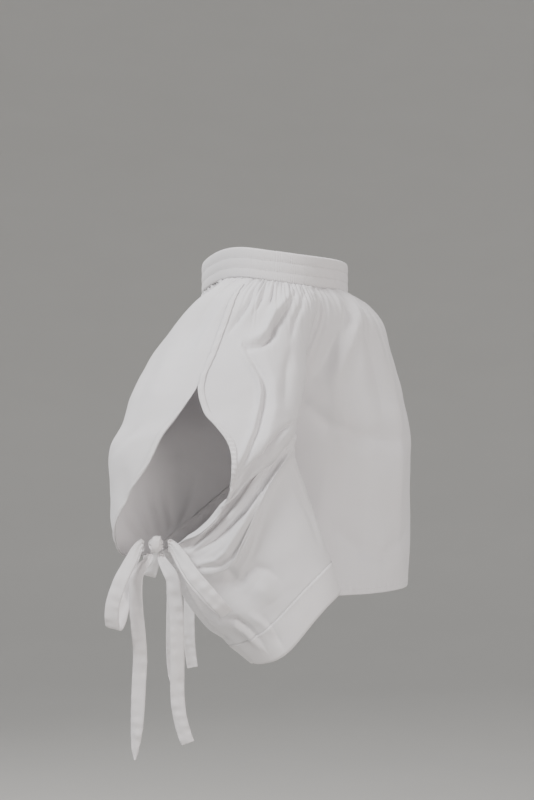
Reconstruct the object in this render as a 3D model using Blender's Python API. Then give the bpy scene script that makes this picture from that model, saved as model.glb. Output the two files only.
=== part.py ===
# Off-shoulder top with slit sleeves tied at the elbow, in the form it has when worn, and empty.
# Metres, +Z up. The front faces -Y, the wearer's right is at -X, and the origin is the middle of
# the neckband, which is where the wearer's shoulders hold the garment.

import math
from collections import namedtuple

import bmesh
import bpy
from mathutils import Vector

# Cloth and seams
CLOTH = 0.0014
DOUBLE_CLOTH = 0.0022
SEAM_GAP = 0.0003
LAP_EASE = 0.0006
ROUNDNESS = 2.3

# Neckband: an elastic casing, shirred into ribs, with two rows of stitching
BAND_HEIGHT = 0.038
BAND_THICKNESS = 0.003
BAND_RIBS = 64
RIB_DEPTH = 0.0011
BAND_ROWS = [(0.5, 1.0), (0.17, 0.45), (-0.17, 0.45), (-0.5, 1.0)]
PANEL_TOP = -BAND_HEIGHT / 2 - SEAM_GAP

# The neckline is highest behind each shoulder and dips towards the front and the back; the dip
# fades out down the body
SHOULDER_TURN = 119.0
SHOULDER_SPREAD = 34.0
SHOULDER_RISE = 0.0037
NECK_DIP = 0.0125
DIP_FADE = 0.07

# Body: the drop is measured down from the neckband, turns in degrees from the front centre
# towards the wearer's right
BODY_LENGTH = 0.4
SIDE_SEAM_TURN = 96.0
RAGLAN_LAP_TURN = 1.5
FRONT_RAGLAN_TURN = 65.6
BACK_RAGLAN_TURN = 135.7
SLEEVE_SEAM_TURN = 106.2
FRONT_GATHERS = 20
BACK_GATHERS = 16
GATHER_DEPTH = 0.0032
GATHER_LENGTH = 0.024
FLAT_TOP = 0.01
RAGLAN_CURVE = 0.85
TURN_LENGTH = 0.0028

# Sleeve: where the underarm seam and the strips beside the slit lie
INNER_DEPTH = 0.052
UNDERARM_SHARE = 0.14
STRIP_WIDTH = 0.007
SEAM_BLEND = 60
CURVE_SAMPLES = 120
FOLD_END_SHARE = 0.35
FRONT_COLUMNS = 15
BACK_COLUMNS = 12
SLIT_TOP_STEP = 4
KNOT_STEP = 16
CUFF_STEP = 27
HEM_STEP = 28

# Ties, with the knot of each on the outer back of the elbow
TIE_CLOTH = 0.0014
KNOT_PLACE = Vector((-0.2918, 0.1449, -0.346))
KNOT_SIZE = Vector((0.022, 0.028, 0.021))
KNOT_ROUNDING = 0.004
LEFT_SPREAD = 0.4
CASING_STEPS = [13, 14, 15, 16, 17, 18]
CASING_COLUMNS = (1, 9)
CLOTH_COLOUR = (0.84, 0.82, 0.83, 1)
CLOTH_ROUGHNESS = 0.85

Level = namedtuple("Level", "drop half_width front back")
Arch = namedtuple("Arch", "step drop front_turn back_turn")
Section = namedtuple(
    "Section", "step front_y front_z back_y back_z out core front_end back_end sag"
)
Fold = namedtuple("Fold", "name path width depth")
Bend = namedtuple("Bend", "out back down width tilt")

# The body's outline, level by level
BODY = [
    Level(0.000, 0.205, -0.0970, 0.097),
    Level(0.019, 0.199, -0.1220, 0.101),
    Level(0.045, 0.190, -0.1435, 0.105),
    Level(0.077, 0.181, -0.1553, 0.109),
    Level(0.111, 0.174, -0.1662, 0.112),
    Level(0.149, 0.168, -0.1755, 0.114),
    Level(0.207, 0.171, -0.1850, 0.116),
    Level(0.289, 0.180, -0.1820, 0.117),
    Level(0.344, 0.185, -0.1827, 0.118),
    Level(BODY_LENGTH, 0.189, -0.1805, 0.119),
]

# Where each sleeve section above the underarm meets the body
ARCHES = [
    Arch(0, 0.000, 0.0, 180.0),
    Arch(1, 0.028, -5.0, 190.0),
    Arch(2, 0.056, -14.0, 215.0),
    Arch(3, 0.089, -25.0, 250.0),
    Arch(4, 0.125, -41.0, 319.0),
]

# Sleeve sections from the neckband down to the hem of the cuff. Each is a ring from a front fold
# to a back fold. Out and core are how far its outer side and its folds are from the body's middle
# plane, the ends are the shares of its outer side at which the two panels stop, and sag bows the
# outer side down.
SLEEVE = [
    Section(0, -0.0450, -0.0193, 0.0830, -0.0193, 0.205, 0.1775, 0.650, 0.650, 0.0000),
    Section(1, -0.0460, -0.0480, 0.1100, -0.0420, 0.234, 0.1860, 0.645, 0.645, 0.0000),
    Section(2, -0.0440, -0.0750, 0.1360, -0.0840, 0.256, 0.1900, 0.623, 0.623, 0.0000),
    Section(3, -0.0410, -0.1020, 0.1590, -0.1220, 0.275, 0.2015, 0.604, 0.604, 0.0000),
    Section(4, -0.0370, -0.1360, 0.1800, -0.1635, 0.293, 0.2225, 0.603, 0.603, 0.0000),
    Section(5, -0.0330, -0.1650, 0.1890, -0.2020, 0.307, 0.2435, 0.540, 0.680, 0.0000),
    Section(6, -0.0300, -0.1800, 0.2030, -0.2300, 0.317, 0.2530, 0.440, 0.714, 0.0000),
    Section(7, -0.0280, -0.1900, 0.2040, -0.2650, 0.325, 0.2570, 0.378, 0.777, 0.0000),
    Section(8, -0.0265, -0.1960, 0.2020, -0.2970, 0.331, 0.2590, 0.353, 0.891, 0.0000),
    Section(9, -0.0255, -0.2000, 0.2000, -0.3290, 0.335, 0.2600, 0.346, 0.970, 0.0000),
    Section(10, -0.0250, -0.2035, 0.1910, -0.3570, 0.335, 0.2600, 0.360, 1.000, 0.0000),
    Section(11, -0.0245, -0.2060, 0.1720, -0.3625, 0.331, 0.2590, 0.402, 1.000, 0.0030),
    Section(12, -0.0240, -0.2085, 0.1560, -0.3590, 0.326, 0.2580, 0.456, 1.000, 0.0080),
    Section(13, -0.0235, -0.2110, 0.1520, -0.3580, 0.322, 0.2570, 0.578, 0.990, 0.0190),
    Section(14, -0.0235, -0.2130, 0.1480, -0.3570, 0.318, 0.2565, 0.732, 0.980, 0.0167),
    Section(15, -0.0235, -0.2150, 0.1440, -0.3560, 0.313, 0.2560, 0.865, 0.975, 0.0120),
    Section(16, -0.0235, -0.2170, 0.1405, -0.3550, 0.308, 0.2560, 0.970, 0.970, 0.0120),
    Section(17, -0.0235, -0.2200, 0.1385, -0.3580, 0.309, 0.2550, 0.970, 0.970, 0.0160),
    Section(18, -0.0235, -0.2230, 0.1365, -0.3610, 0.313, 0.2550, 0.970, 0.970, 0.0220),
    Section(19, -0.0235, -0.2260, 0.1345, -0.3650, 0.314, 0.2550, 0.970, 0.970, 0.0290),
    Section(20, -0.0235, -0.2290, 0.1325, -0.3690, 0.319, 0.2550, 0.970, 0.970, 0.0380),
    Section(21, -0.0235, -0.2325, 0.1300, -0.3730, 0.323, 0.2550, 0.970, 0.970, 0.0520),
    Section(22, -0.0235, -0.2360, 0.1270, -0.3800, 0.312, 0.2545, 0.970, 0.970, 0.0500),
    Section(23, -0.0245, -0.2430, 0.1190, -0.4020, 0.305, 0.2540, 0.970, 0.970, 0.0440),
    Section(24, -0.0300, -0.2600, 0.1030, -0.4290, 0.304, 0.2535, 0.970, 0.970, 0.0320),
    Section(25, -0.0430, -0.2980, 0.0830, -0.4520, 0.303, 0.2530, 0.970, 0.970, 0.0180),
    Section(26, -0.0570, -0.3370, 0.0660, -0.4630, 0.300, 0.2525, 0.970, 0.970, 0.0090),
    Section(CUFF_STEP, -0.0685, -0.3700, 0.0570, -0.4720, 0.297, 0.2515, 0.970, 0.970, 0.0100),
    Section(HEM_STEP, -0.0795, -0.4080, 0.0315, -0.4930, 0.295, 0.2505, 0.970, 0.970, 0.0155),
]

# Folds of the sleeve's outer side, as places (y, z) seen from the side; a trough is less than 0 deep
SLEEVE_FOLDS = [
    Fold("deep trough", [(-0.015, -0.06), (0.001, -0.078), (0.02, -0.107), (0.041, -0.104)], 0.01, -0.01),
    Fold("lip over it", [(-0.005, -0.04), (0.012, -0.066), (0.024, -0.09)], 0.009, 0.005),
    Fold("ridge below", [(0.036, -0.112), (0.02, -0.149), (0.02, -0.18), (0.034, -0.225)], 0.012, 0.006),
    Fold("front trough", [(-0.022, -0.09), (-0.014, -0.14), (-0.012, -0.185)], 0.01, -0.005),
]

# Folds of the body, as places (turn, drop)
BODY_FOLDS = [
    Fold("right shade", [(47, 0.02), (64, 0.065), (84, 0.125)], 0.016, -0.006),
    Fold("right bust sweep", [(86, 0.165), (72, 0.197), (30, 0.202)], 0.02, -0.005),
    Fold("right drop", [(38, 0.02), (33, 0.12), (34, 0.25), (30, 0.37)], 0.022, 0.005),
    Fold("right low turn", [(74, 0.33), (45, 0.352), (20, 0.325)], 0.018, -0.004),
    Fold("left shade", [(-52, 0.018), (-66, 0.075), (-82, 0.135)], 0.017, -0.006),
    Fold("left bust sweep", [(-84, 0.18), (-66, 0.203), (-24, 0.194)], 0.02, -0.004),
    Fold("left drop", [(-33, 0.015), (-37, 0.13), (-32, 0.26), (-38, 0.375)], 0.023, 0.005),
    Fold("back middle drop", [(172, 0.03), (176, 0.2), (169, 0.37)], 0.026, -0.006),
    Fold("back right drop", [(140, 0.04), (143, 0.18), (138, 0.36)], 0.024, 0.006),
    Fold("back left drop", [(212, 0.045), (207, 0.22), (214, 0.37)], 0.024, 0.006),
]

# Rows of the meshes: sleeve steps, and body drops below the underarm
SLEEVE_STEPS = [0, 0.35] + list(range(1, CUFF_STEP + 1))
ARMHOLE_STEPS = [0, 0.35, 1, 2, 3, 4]
UNDERARM_ROW = len(ARMHOLE_STEPS) - 1
KNOT_ROW = SLEEVE_STEPS.index(KNOT_STEP)
CUFF_ROW = len(SLEEVE_STEPS) - 1
LOWER_DROPS = [0.165, 0.205, 0.245, 0.29, 0.335, 0.372, BODY_LENGTH]

# Loops and tails of the tie, measured from the middle of the knot; the tilt turns the tie about
# its own length
TAIL_BACK = [
    Bend(0.004, 0.0070, 0.0108, 0.009, 0),
    Bend(0.004, 0.0071, 0.0140, 0.009, 0),
    Bend(0.007, 0.0095, 0.0185, 0.011, 5),
    Bend(0.012, 0.0165, 0.0265, 0.0135, 10),
    Bend(0.017, 0.0230, 0.0410, 0.0165, 20),
    Bend(0.017, 0.0230, 0.0740, 0.017, 10),
    Bend(0.016, 0.0200, 0.1060, 0.017, -5),
    Bend(0.015, 0.0180, 0.1340, 0.017, -15),
    Bend(0.015, 0.0195, 0.1640, 0.017, 0),
    Bend(0.016, 0.0220, 0.2140, 0.016, 15),
    Bend(0.015, 0.0240, 0.2440, 0.009, 10),
    Bend(0.015, 0.0245, 0.2580, 0.002, 5),
]
TAIL_FRONT = [
    Bend(0.004, -0.0065, 0.0108, 0.009, 0),
    Bend(0.004, -0.0066, 0.0140, 0.009, 0),
    Bend(0.010, -0.0085, 0.0185, 0.011, 5),
    Bend(0.019, -0.0140, 0.0265, 0.014, 10),
    Bend(0.026, -0.0215, 0.0410, 0.0165, 15),
    Bend(0.025, -0.0255, 0.0740, 0.017, 5),
    Bend(0.022, -0.0270, 0.1170, 0.017, -5),
    Bend(0.020, -0.0270, 0.1560, 0.017, -10),
    Bend(0.019, -0.0270, 0.1810, 0.017, 0),
    Bend(0.019, -0.0295, 0.2040, 0.017, 10),
    Bend(0.019, -0.0345, 0.2240, 0.017, 10),
    Bend(0.019, -0.0395, 0.2370, 0.016, 10),
]
LOOP_BACK = [
    Bend(0.006, 0.0147, -0.0030, 0.008, 0),
    Bend(0.006, 0.0175, -0.0028, 0.008, 0),
    Bend(0.014, 0.0225, 0.0030, 0.011, 5),
    Bend(0.026, 0.0285, 0.0170, 0.015, 10),
    Bend(0.038, 0.0400, 0.0400, 0.017, 10),
    Bend(0.043, 0.0485, 0.0660, 0.017, 5),
    Bend(0.041, 0.0500, 0.0880, 0.017, 0),
    Bend(0.032, 0.0480, 0.0975, 0.017, 0),
    Bend(0.020, 0.0430, 0.0900, 0.017, 0),
    Bend(0.011, 0.0370, 0.0660, 0.016, 0),
    Bend(0.002, 0.0310, 0.0420, 0.015, 0),
    Bend(-0.002, 0.0275, 0.0240, 0.012, 0),
    Bend(-0.005, 0.0220, 0.0090, 0.009, 0),
    Bend(-0.006, 0.0178, 0.0050, 0.008, 0),
    Bend(-0.006, 0.0147, 0.0048, 0.008, 0),
]
LOOP_FRONT = [
    Bend(0.006, -0.0147, -0.0030, 0.008, 0),
    Bend(0.006, -0.0175, -0.0028, 0.008, 0),
    Bend(0.012, -0.0235, 0.0015, 0.010, 0),
    Bend(0.032, -0.0320, 0.0120, 0.014, 0),
    Bend(0.052, -0.0460, 0.0315, 0.017, 0),
    Bend(0.058, -0.0630, 0.0505, 0.017, 5),
    Bend(0.057, -0.0790, 0.0690, 0.017, 10),
    Bend(0.049, -0.0860, 0.0780, 0.017, 10),
    Bend(0.039, -0.0820, 0.0770, 0.017, 10),
    Bend(0.034, -0.0660, 0.0620, 0.017, 10),
    Bend(0.022, -0.0480, 0.0430, 0.016, 10),
    Bend(0.008, -0.0320, 0.0240, 0.012, 5),
    Bend(0.000, -0.0220, 0.0085, 0.009, 0),
    Bend(-0.001, -0.0178, 0.0050, 0.008, 0),
    Bend(-0.001, -0.0147, 0.0048, 0.008, 0),
]

TAILS = {"tail_back": TAIL_BACK, "tail_front": TAIL_FRONT}


def power(value, exponent):
    """Raises a number to a power and keeps its sign."""
    return math.copysign(abs(value) ** exponent, value)


def slope(table, index, column):
    """Slope of a column at a row, taken from the rows beside it."""
    low = max(index - 1, 0)
    high = min(index + 1, len(table) - 1)
    return (table[high][column] - table[low][column]) / (table[high][0] - table[low][0])


def between(start, end, start_slope, end_slope, share):
    """Smooth value between two others with known slopes."""
    square = share * share
    cube = square * share
    value = start * (2 * cube - 3 * square + 1) + end * (3 * square - 2 * cube)
    return value + start_slope * (cube - 2 * square + share) + end_slope * (cube - square)


def row_at(table, at):
    """Row of a table at any value of its first column, on a smooth curve through its rows."""
    index = 0
    while index < len(table) - 2 and table[index + 1][0] <= at:
        index += 1
    low, high = table[index], table[index + 1]
    span = high[0] - low[0]
    share = (at - low[0]) / span
    values = [at]
    for column in range(1, len(low)):
        start_slope = slope(table, index, column) * span
        end_slope = slope(table, index + 1, column) * span
        values.append(between(low[column], high[column], start_slope, end_slope, share))
    return type(low)(*values)


def nearest_on_path(path, u, v):
    """Distance from a place to a path, and how far along the path that is, from 0 to 1."""
    best = (1e9, 0.0)
    pieces = len(path) - 1
    for index in range(pieces):
        start_u, start_v = path[index]
        run_u = path[index + 1][0] - start_u
        run_v = path[index + 1][1] - start_v
        share = ((u - start_u) * run_u + (v - start_v) * run_v) / (run_u**2 + run_v**2)
        share = min(max(share, 0.0), 1.0)
        gap = math.hypot(u - start_u - share * run_u, v - start_v - share * run_v)
        best = min(best, (gap, (index + share) / pieces))
    return best


def fold_height(folds, u, v):
    """Sum of the folds at a place; each is a soft ridge or trough that dies out at its ends."""
    height = 0.0
    for fold in folds:
        gap, along = nearest_on_path(fold.path, u, v)
        taper = FOLD_END_SHARE + (1 - FOLD_END_SHARE) * math.sin(math.pi * along)
        height += fold.depth * taper * math.exp(-((gap / fold.width) ** 2))
    return height


def gather_height(wave, drop):
    """Height of the gathers below the neckband; wave counts the gathers across a panel."""
    own_depth = 0.7 + 0.3 * math.sin(1.7 * wave + 0.6)
    own_length = GATHER_LENGTH * (1.0 + 0.35 * math.sin(2.3 * wave))
    fade = drop / own_length * math.exp(1 - drop / own_length)
    return GATHER_DEPTH * own_depth * fade * math.cos(2 * math.pi * wave)


def neck_dip(turn):
    """How far the neckline lies below its height in the middle of the shoulder, at a turn."""
    from_front = abs((turn + 180) % 360 - 180)
    rise = math.exp(-(((from_front - SHOULDER_TURN) / SHOULDER_SPREAD) ** 2))
    return NECK_DIP * (1 - rise) - SHOULDER_RISE


def body_point(drop, turn):
    """Point of the body's surface before its folds."""
    level = row_at(BODY, drop)
    dip = neck_dip(turn) * max(0.0, 1 - drop / DIP_FADE) ** 2
    middle = (level.front + level.back) / 2
    half_depth = (level.back - level.front) / 2
    x = -level.half_width * power(math.sin(math.radians(turn)), 2 / ROUNDNESS)
    y = middle - half_depth * power(math.cos(math.radians(turn)), 2 / ROUNDNESS)
    return Vector((x, y, PANEL_TOP - drop - dip))


def body_normal(drop, turn):
    """Outward direction of the body's surface."""
    across = body_point(drop, turn + 1) - body_point(drop, turn - 1)
    down = body_point(drop + 0.004, turn) - body_point(max(drop - 0.004, 0), turn)
    return across.cross(down).normalized()


def raglan_turn(drop, top_turn):
    """Turn at which a raglan seam that starts at top_turn crosses a drop."""
    share = min(drop / ARCHES[-1].drop, 1.0)
    return top_turn + (SIDE_SEAM_TURN - top_turn) * share**RAGLAN_CURVE


def ring_point(section, angle):
    """Point of a sleeve section: 0 is its front fold, 90 its outer side and 180 its back fold."""
    front = Vector((0, section.front_y, section.front_z))
    back = Vector((0, section.back_y, section.back_z))
    aside = power(math.sin(math.radians(angle)), 2 / ROUNDNESS)
    along = (1 - power(math.cos(math.radians(angle)), 2 / ROUNDNESS)) / 2
    point = front.lerp(back, along)
    reach = section.out - section.core if aside > 0 else INNER_DEPTH
    point.x = -section.core - reach * aside
    if aside > 0:
        run = (back - front).normalized()
        point += Vector((0, run.z, -run.y)) * section.sag * math.sin(math.pi * along**2)
    return point


def ring_angle(share):
    """Angle on a sleeve section's outer side at a share of the way from front to back."""
    return math.degrees(math.acos(power(1 - 2 * share, ROUNDNESS / 2)))


def top_curve():
    """The sleeve's upper edge along the neckband, with its angles."""
    reach = BACK_RAGLAN_TURN - FRONT_RAGLAN_TURN
    turns = [FRONT_RAGLAN_TURN + reach * i / CURVE_SAMPLES for i in range(CURVE_SAMPLES + 1)]
    lift = CLOTH + SEAM_GAP + LAP_EASE
    return turns, [body_point(0, turn) + level_normal(turn) * lift for turn in turns]


def section_curve(step):
    """A sleeve section as points from its front seam round to its back seam, with their angles."""
    if step == 0:
        return top_curve()
    section = SLEEVE[step]
    start = -ring_angle(UNDERARM_SHARE)
    end = 360 + start
    if step < SLIT_TOP_STEP:
        start, end = ARCHES[step].front_turn, ARCHES[step].back_turn
    angles = [start + (end - start) * i / CURVE_SAMPLES for i in range(CURVE_SAMPLES + 1)]
    points = [ring_point(section, angle) for angle in angles]
    if step <= SLIT_TOP_STEP:
        drop = ARCHES[step].drop
        front_move = body_point(drop, raglan_turn(drop, FRONT_RAGLAN_TURN)) - points[0]
        back_move = body_point(drop, raglan_turn(drop, BACK_RAGLAN_TURN)) - points[-1]
        for i, angle in enumerate(angles):
            front_share = max(0, 1 - (angle - start) / SEAM_BLEND) ** 2
            back_share = max(0, 1 - (end - angle) / SEAM_BLEND) ** 2
            points[i] = points[i] + front_move * front_share + back_move * back_share
    return angles, points


def cut_curve(angles, points, start, end):
    """The stretch of a curve between two angles."""
    def at(angle):
        for i in range(len(angles) - 1):
            if angle <= angles[i + 1]:
                share = (angle - angles[i]) / (angles[i + 1] - angles[i])
                return points[i].lerp(points[i + 1], share)
        return points[-1]

    inside = [p for a, p in zip(angles, points) if start < a < end]
    return [at(start)] + inside + [at(end)]


def spread(points, distances):
    """Points at the given distances along a polyline."""
    result = []
    for distance in distances:
        left = distance
        for start, end in zip(points, points[1:]):
            length = (end - start).length
            if left <= length:
                result.append(start.lerp(end, left / length))
                break
            left -= length
        else:
            result.append(points[-1].copy())
    return result


def curve_length(points):
    """Length of a polyline."""
    return sum((end - start).length for start, end in zip(points, points[1:]))


def front_panel_section(step):
    """Front sleeve panel at a section: evenly spaced, with a last column beside the outer edge."""
    angles, points = section_curve(step)
    end = SLEEVE_SEAM_TURN if step == 0 else ring_angle(SLEEVE[step].front_end)
    stretch = cut_curve(angles, points, angles[0], end)
    length = curve_length(stretch)
    even = [(length - STRIP_WIDTH) * i / FRONT_COLUMNS for i in range(FRONT_COLUMNS + 1)]
    return spread(stretch, even + [length])


def back_panel_section(step):
    """Back sleeve panel at a section, from the outer edge to the inner seam."""
    angles, points = section_curve(step)
    start = SLEEVE_SEAM_TURN if step == 0 else ring_angle(SLEEVE[step].back_end)
    stretch = cut_curve(angles, points, start, angles[-1])
    length = curve_length(stretch)
    rest = length - STRIP_WIDTH
    even = [STRIP_WIDTH + rest * i / BACK_COLUMNS for i in range(BACK_COLUMNS + 1)]
    return spread(stretch, [0] + even)


def rows_between(sections, steps):
    """Rows of points at any steps, on smooth curves through the whole sections."""
    rows = []
    last = len(sections) - 1
    for step in steps:
        low = min(int(step), last - 1)
        share = step - low
        row = []
        for column in range(len(sections[0])):
            start, end = sections[low][column], sections[low + 1][column]
            before = sections[max(low - 1, 0)][column]
            after = sections[min(low + 2, last)][column]
            start_slope = (end - before) / (2 if low > 0 else 1)
            end_slope = (after - start) / (2 if low + 2 <= last else 1)
            row.append(between(start, end, start_slope, end_slope, share))
        rows.append(row)
    return rows


def grid_normals(rows):
    """Outward directions at the points of a grid whose rows run down and columns run round."""
    normals = []
    for i, row in enumerate(rows):
        above, below = rows[max(i - 1, 0)], rows[min(i + 1, len(rows) - 1)]
        line = []
        for j in range(len(row)):
            across = row[min(j + 1, len(row) - 1)] - row[max(j - 1, 0)]
            line.append(across.cross(below[j] - above[j]).normalized())
        normals.append(line)
    return normals


def raise_folds(rows, heights):
    """Moves each point of a grid out by its height."""
    normals = grid_normals(rows)
    return [
        [point + normal * height for point, normal, height in zip(row, line, level)]
        for row, line, level in zip(rows, normals, heights)
    ]


def square_to(direction, line):
    """The part of a direction that is square to a line."""
    line = line.normalized()
    return (direction - line * direction.dot(line)).normalized()


def rim_directions(points, directions, closed=False):
    """Directions of a wall at a seam, made square to the seam's own line."""
    count = len(points)
    result = []
    for i, direction in enumerate(directions):
        after = points[(i + 1) % count] if closed else points[min(i + 1, count - 1)]
        before = points[i - 1] if closed else points[max(i - 1, 0)]
        result.append(square_to(direction, after - before))
    return result


def drawn_in(point, inner, direction, gap=SEAM_GAP / 2):
    """An edge point moved in from its seam, square to the wall's direction there."""
    return point + square_to(inner - point, direction) * gap


def add_object(name, mesh_data, collection):
    """Links a mesh to the scene as an object of its own material."""
    material = bpy.data.materials.new(name)
    material.use_nodes = True
    shader = material.node_tree.nodes["Principled BSDF"]
    shader.inputs["Base Color"].default_value = CLOTH_COLOUR
    shader.inputs["Roughness"].default_value = CLOTH_ROUGHNESS
    shader.inputs["Metallic"].default_value = 0
    mesh_data.materials.append(material)
    item = bpy.data.objects.new(name, mesh_data)
    collection.objects.link(item)
    return item


def wall(name, rows, normals, thickness, collection, closed=False, inner_normals=None):
    """A closed wall of cloth with the grid as its middle surface."""
    bm = bmesh.new()
    inner_normals = inner_normals or normals
    half = thickness / 2
    outer, inner = [], []
    for row, line, inner_line in zip(rows, normals, inner_normals):
        outer.append([bm.verts.new(p + n * half) for p, n in zip(row, line)])
        inner.append([bm.verts.new(p - n * half) for p, n in zip(row, inner_line)])
    columns = len(rows[0])
    pairs = [(j, (j + 1) % columns) for j in range(columns if closed else columns - 1)]
    for i in range(len(rows) - 1):
        for j, k in pairs:
            bm.faces.new((outer[i][j], outer[i + 1][j], outer[i + 1][k], outer[i][k]))
            bm.faces.new((inner[i][j], inner[i][k], inner[i + 1][k], inner[i + 1][j]))
        if not closed:
            bm.faces.new((outer[i][0], inner[i][0], inner[i + 1][0], outer[i + 1][0]))
            bm.faces.new((outer[i][-1], outer[i + 1][-1], inner[i + 1][-1], inner[i][-1]))
    for j, k in pairs:
        bm.faces.new((outer[0][j], outer[0][k], inner[0][k], inner[0][j]))
        bm.faces.new((outer[-1][j], inner[-1][j], inner[-1][k], outer[-1][k]))
    bmesh.ops.recalc_face_normals(bm, faces=bm.faces)
    mesh_data = bpy.data.meshes.new(name)
    bm.to_mesh(mesh_data)
    bm.free()
    mesh_data.shade_smooth()
    return add_object(name, mesh_data, collection)


def closer(bends):
    """The same bends spread less from front to back, as the left tails hang."""
    start = bends[0].back
    return [bend._replace(back=start + (bend.back - start) * LEFT_SPREAD) for bend in bends]


def mirrored(item, name, collection):
    """The same piece on the wearer's left."""
    bm = bmesh.new()
    bm.from_mesh(item.data)
    for vertex in bm.verts:
        vertex.co.x = -vertex.co.x
    bmesh.ops.reverse_faces(bm, faces=bm.faces)
    mesh_data = bpy.data.meshes.new(name)
    bm.to_mesh(mesh_data)
    bm.free()
    mesh_data.shade_smooth()
    return add_object(name, mesh_data, collection)


def neckband(collection):
    """Elastic casing: ribs raised on its outer points, drawn in at two rows of stitching."""
    turns = [180 * j / BAND_RIBS for j in range(BAND_RIBS * 2)]
    line = [level_normal(turn) for turn in turns]
    rows, raised = [], []
    for share, rib_share in BAND_ROWS:
        row = [body_point(0, turn) for turn in turns]
        for point in row:
            point.z += BAND_HEIGHT * share - PANEL_TOP
        rows.append(row)
        rib = 1 + 2 * RIB_DEPTH * rib_share / BAND_THICKNESS
        raised.append([n * (rib if j % 2 else 1) for j, n in enumerate(line)])
    return wall("neckband", rows, raised, BAND_THICKNESS, collection, True, [line] * len(rows))


def level_normal(turn):
    """Level outward direction of the neckband at a turn."""
    across = body_point(0, turn + 0.5) - body_point(0, turn - 0.5)
    return Vector((across.y, -across.x, 0)).normalized() * -1


def armhole_drops():
    """Drops at which the sleeve's upper sections meet the body."""
    return [row_at(ARCHES, step).drop for step in ARMHOLE_STEPS]


def sleeve_height(section, point, wave, drop):
    """Height of the folds and gathers at a point of the sleeve."""
    outwards = (-point.x - section.core) / (section.out - section.core)
    folds = fold_height(SLEEVE_FOLDS, point.y, point.z) * min(1.0, max(0.0, outwards * 2))
    return folds + gather_height(wave, drop) * min(1.0, drop / FLAT_TOP)


def sleeve_rows(panel_section, gathers, seam_column):
    """Rows of one sleeve panel with its folds and gathers raised, flat beside its seams."""
    sections = [panel_section(step) for step in range(HEM_STEP + 1)]
    steps = SLEEVE_STEPS + [HEM_STEP]
    rows = rows_between(sections, steps)
    last = len(rows[0]) - 1
    outer_column = last if seam_column == 0 else 0
    heights = []
    for row, step in zip(rows, steps):
        section = row_at(SLEEVE, step)
        joined = step <= SLIT_TOP_STEP or step >= KNOT_STEP
        level = []
        for j, point in enumerate(row):
            height = sleeve_height(section, point, gathers * j / last, (point - rows[0][j]).length)
            rim = min(1.0, abs(j - seam_column) / 2)
            if joined:
                rim = min(rim, abs(j - outer_column) / 2)
            level.append(height * rim)
        heights.append(level)
    return raise_folds(rows, heights)


def mean_direction(*directions):
    """The mean of unit directions."""
    return sum(directions, Vector()).normalized()


def seat_raglan(rows, normals, column, top_turn):
    """Seats a sleeve panel's upper edge on the body, just clear of the body panel under it."""
    drops = armhole_drops()
    points = [row[column] for row in rows[:UNDERARM_ROW]]
    directions = [line[column] for line in normals[:UNDERARM_ROW]]
    directions[0] = level_normal(top_turn)
    for i, direction in enumerate(rim_directions(points, directions)):
        normals[i][column] = direction
    for i, drop in enumerate(drops):
        turn = raglan_turn(drop, top_turn)
        away = level_normal(turn) if i == 0 else body_normal(drop, turn)
        lift = CLOTH / 2 * (1 + abs(normals[i][column].dot(away))) + SEAM_GAP + LAP_EASE
        rows[i][column] = body_point(drop, turn) + away * lift


def share_directions(front_normals, back_normals, front_points, indices, front_column, back_column):
    """Gives both panels the same wall direction along the seam between them."""
    points = [front_points[i][front_column] for i in indices]
    shared = [
        mean_direction(front_normals[i][front_column], back_normals[i][back_column]) for i in indices
    ]
    for i, direction in zip(indices, rim_directions(points, shared)):
        front_normals[i][front_column] = direction
        back_normals[i][back_column] = direction


def cuff_grid(front, front_normals, back, back_normals):
    """The cuff's two rings; gives the panels above it the wall directions of its upper ring."""
    rings, ring_normals = [], []
    for i in (CUFF_ROW, CUFF_ROW + 1):
        ring = front[i] + back[i][1:-1]
        rings.append(ring)
        ring_normals.append(rim_directions(ring, front_normals[i] + back_normals[i][1:-1], closed=True))
    upper = ring_normals[0]
    columns = len(front[0])
    front_normals[CUFF_ROW] = upper[:columns]
    back_normals[CUFF_ROW] = upper[columns - 1:] + upper[:1]
    top = [drawn_in(p, q, n) for p, q, n in zip(rings[0], rings[1], upper)]
    return [top, rings[1]], ring_normals


def seam_gaps(rows, normals, outer, inner):
    """Draws a sleeve panel in from the cuff, the underarm seam and the joined outer seam."""
    beside_outer = 1 if outer == 0 else -2
    beside_inner = 1 if inner == 0 else -2
    rows[-1] = [drawn_in(p, q, n) for p, q, n in zip(rows[-1], rows[-2], normals[-1])]
    for i in range(UNDERARM_ROW, len(rows)):
        rows[i][inner] = drawn_in(rows[i][inner], rows[i][beside_inner], normals[i][inner])
    for i in list(range(UNDERARM_ROW + 1)) + list(range(KNOT_ROW, len(rows))):
        rows[i][outer] = drawn_in(rows[i][outer], rows[i][beside_outer], normals[i][outer])


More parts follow.
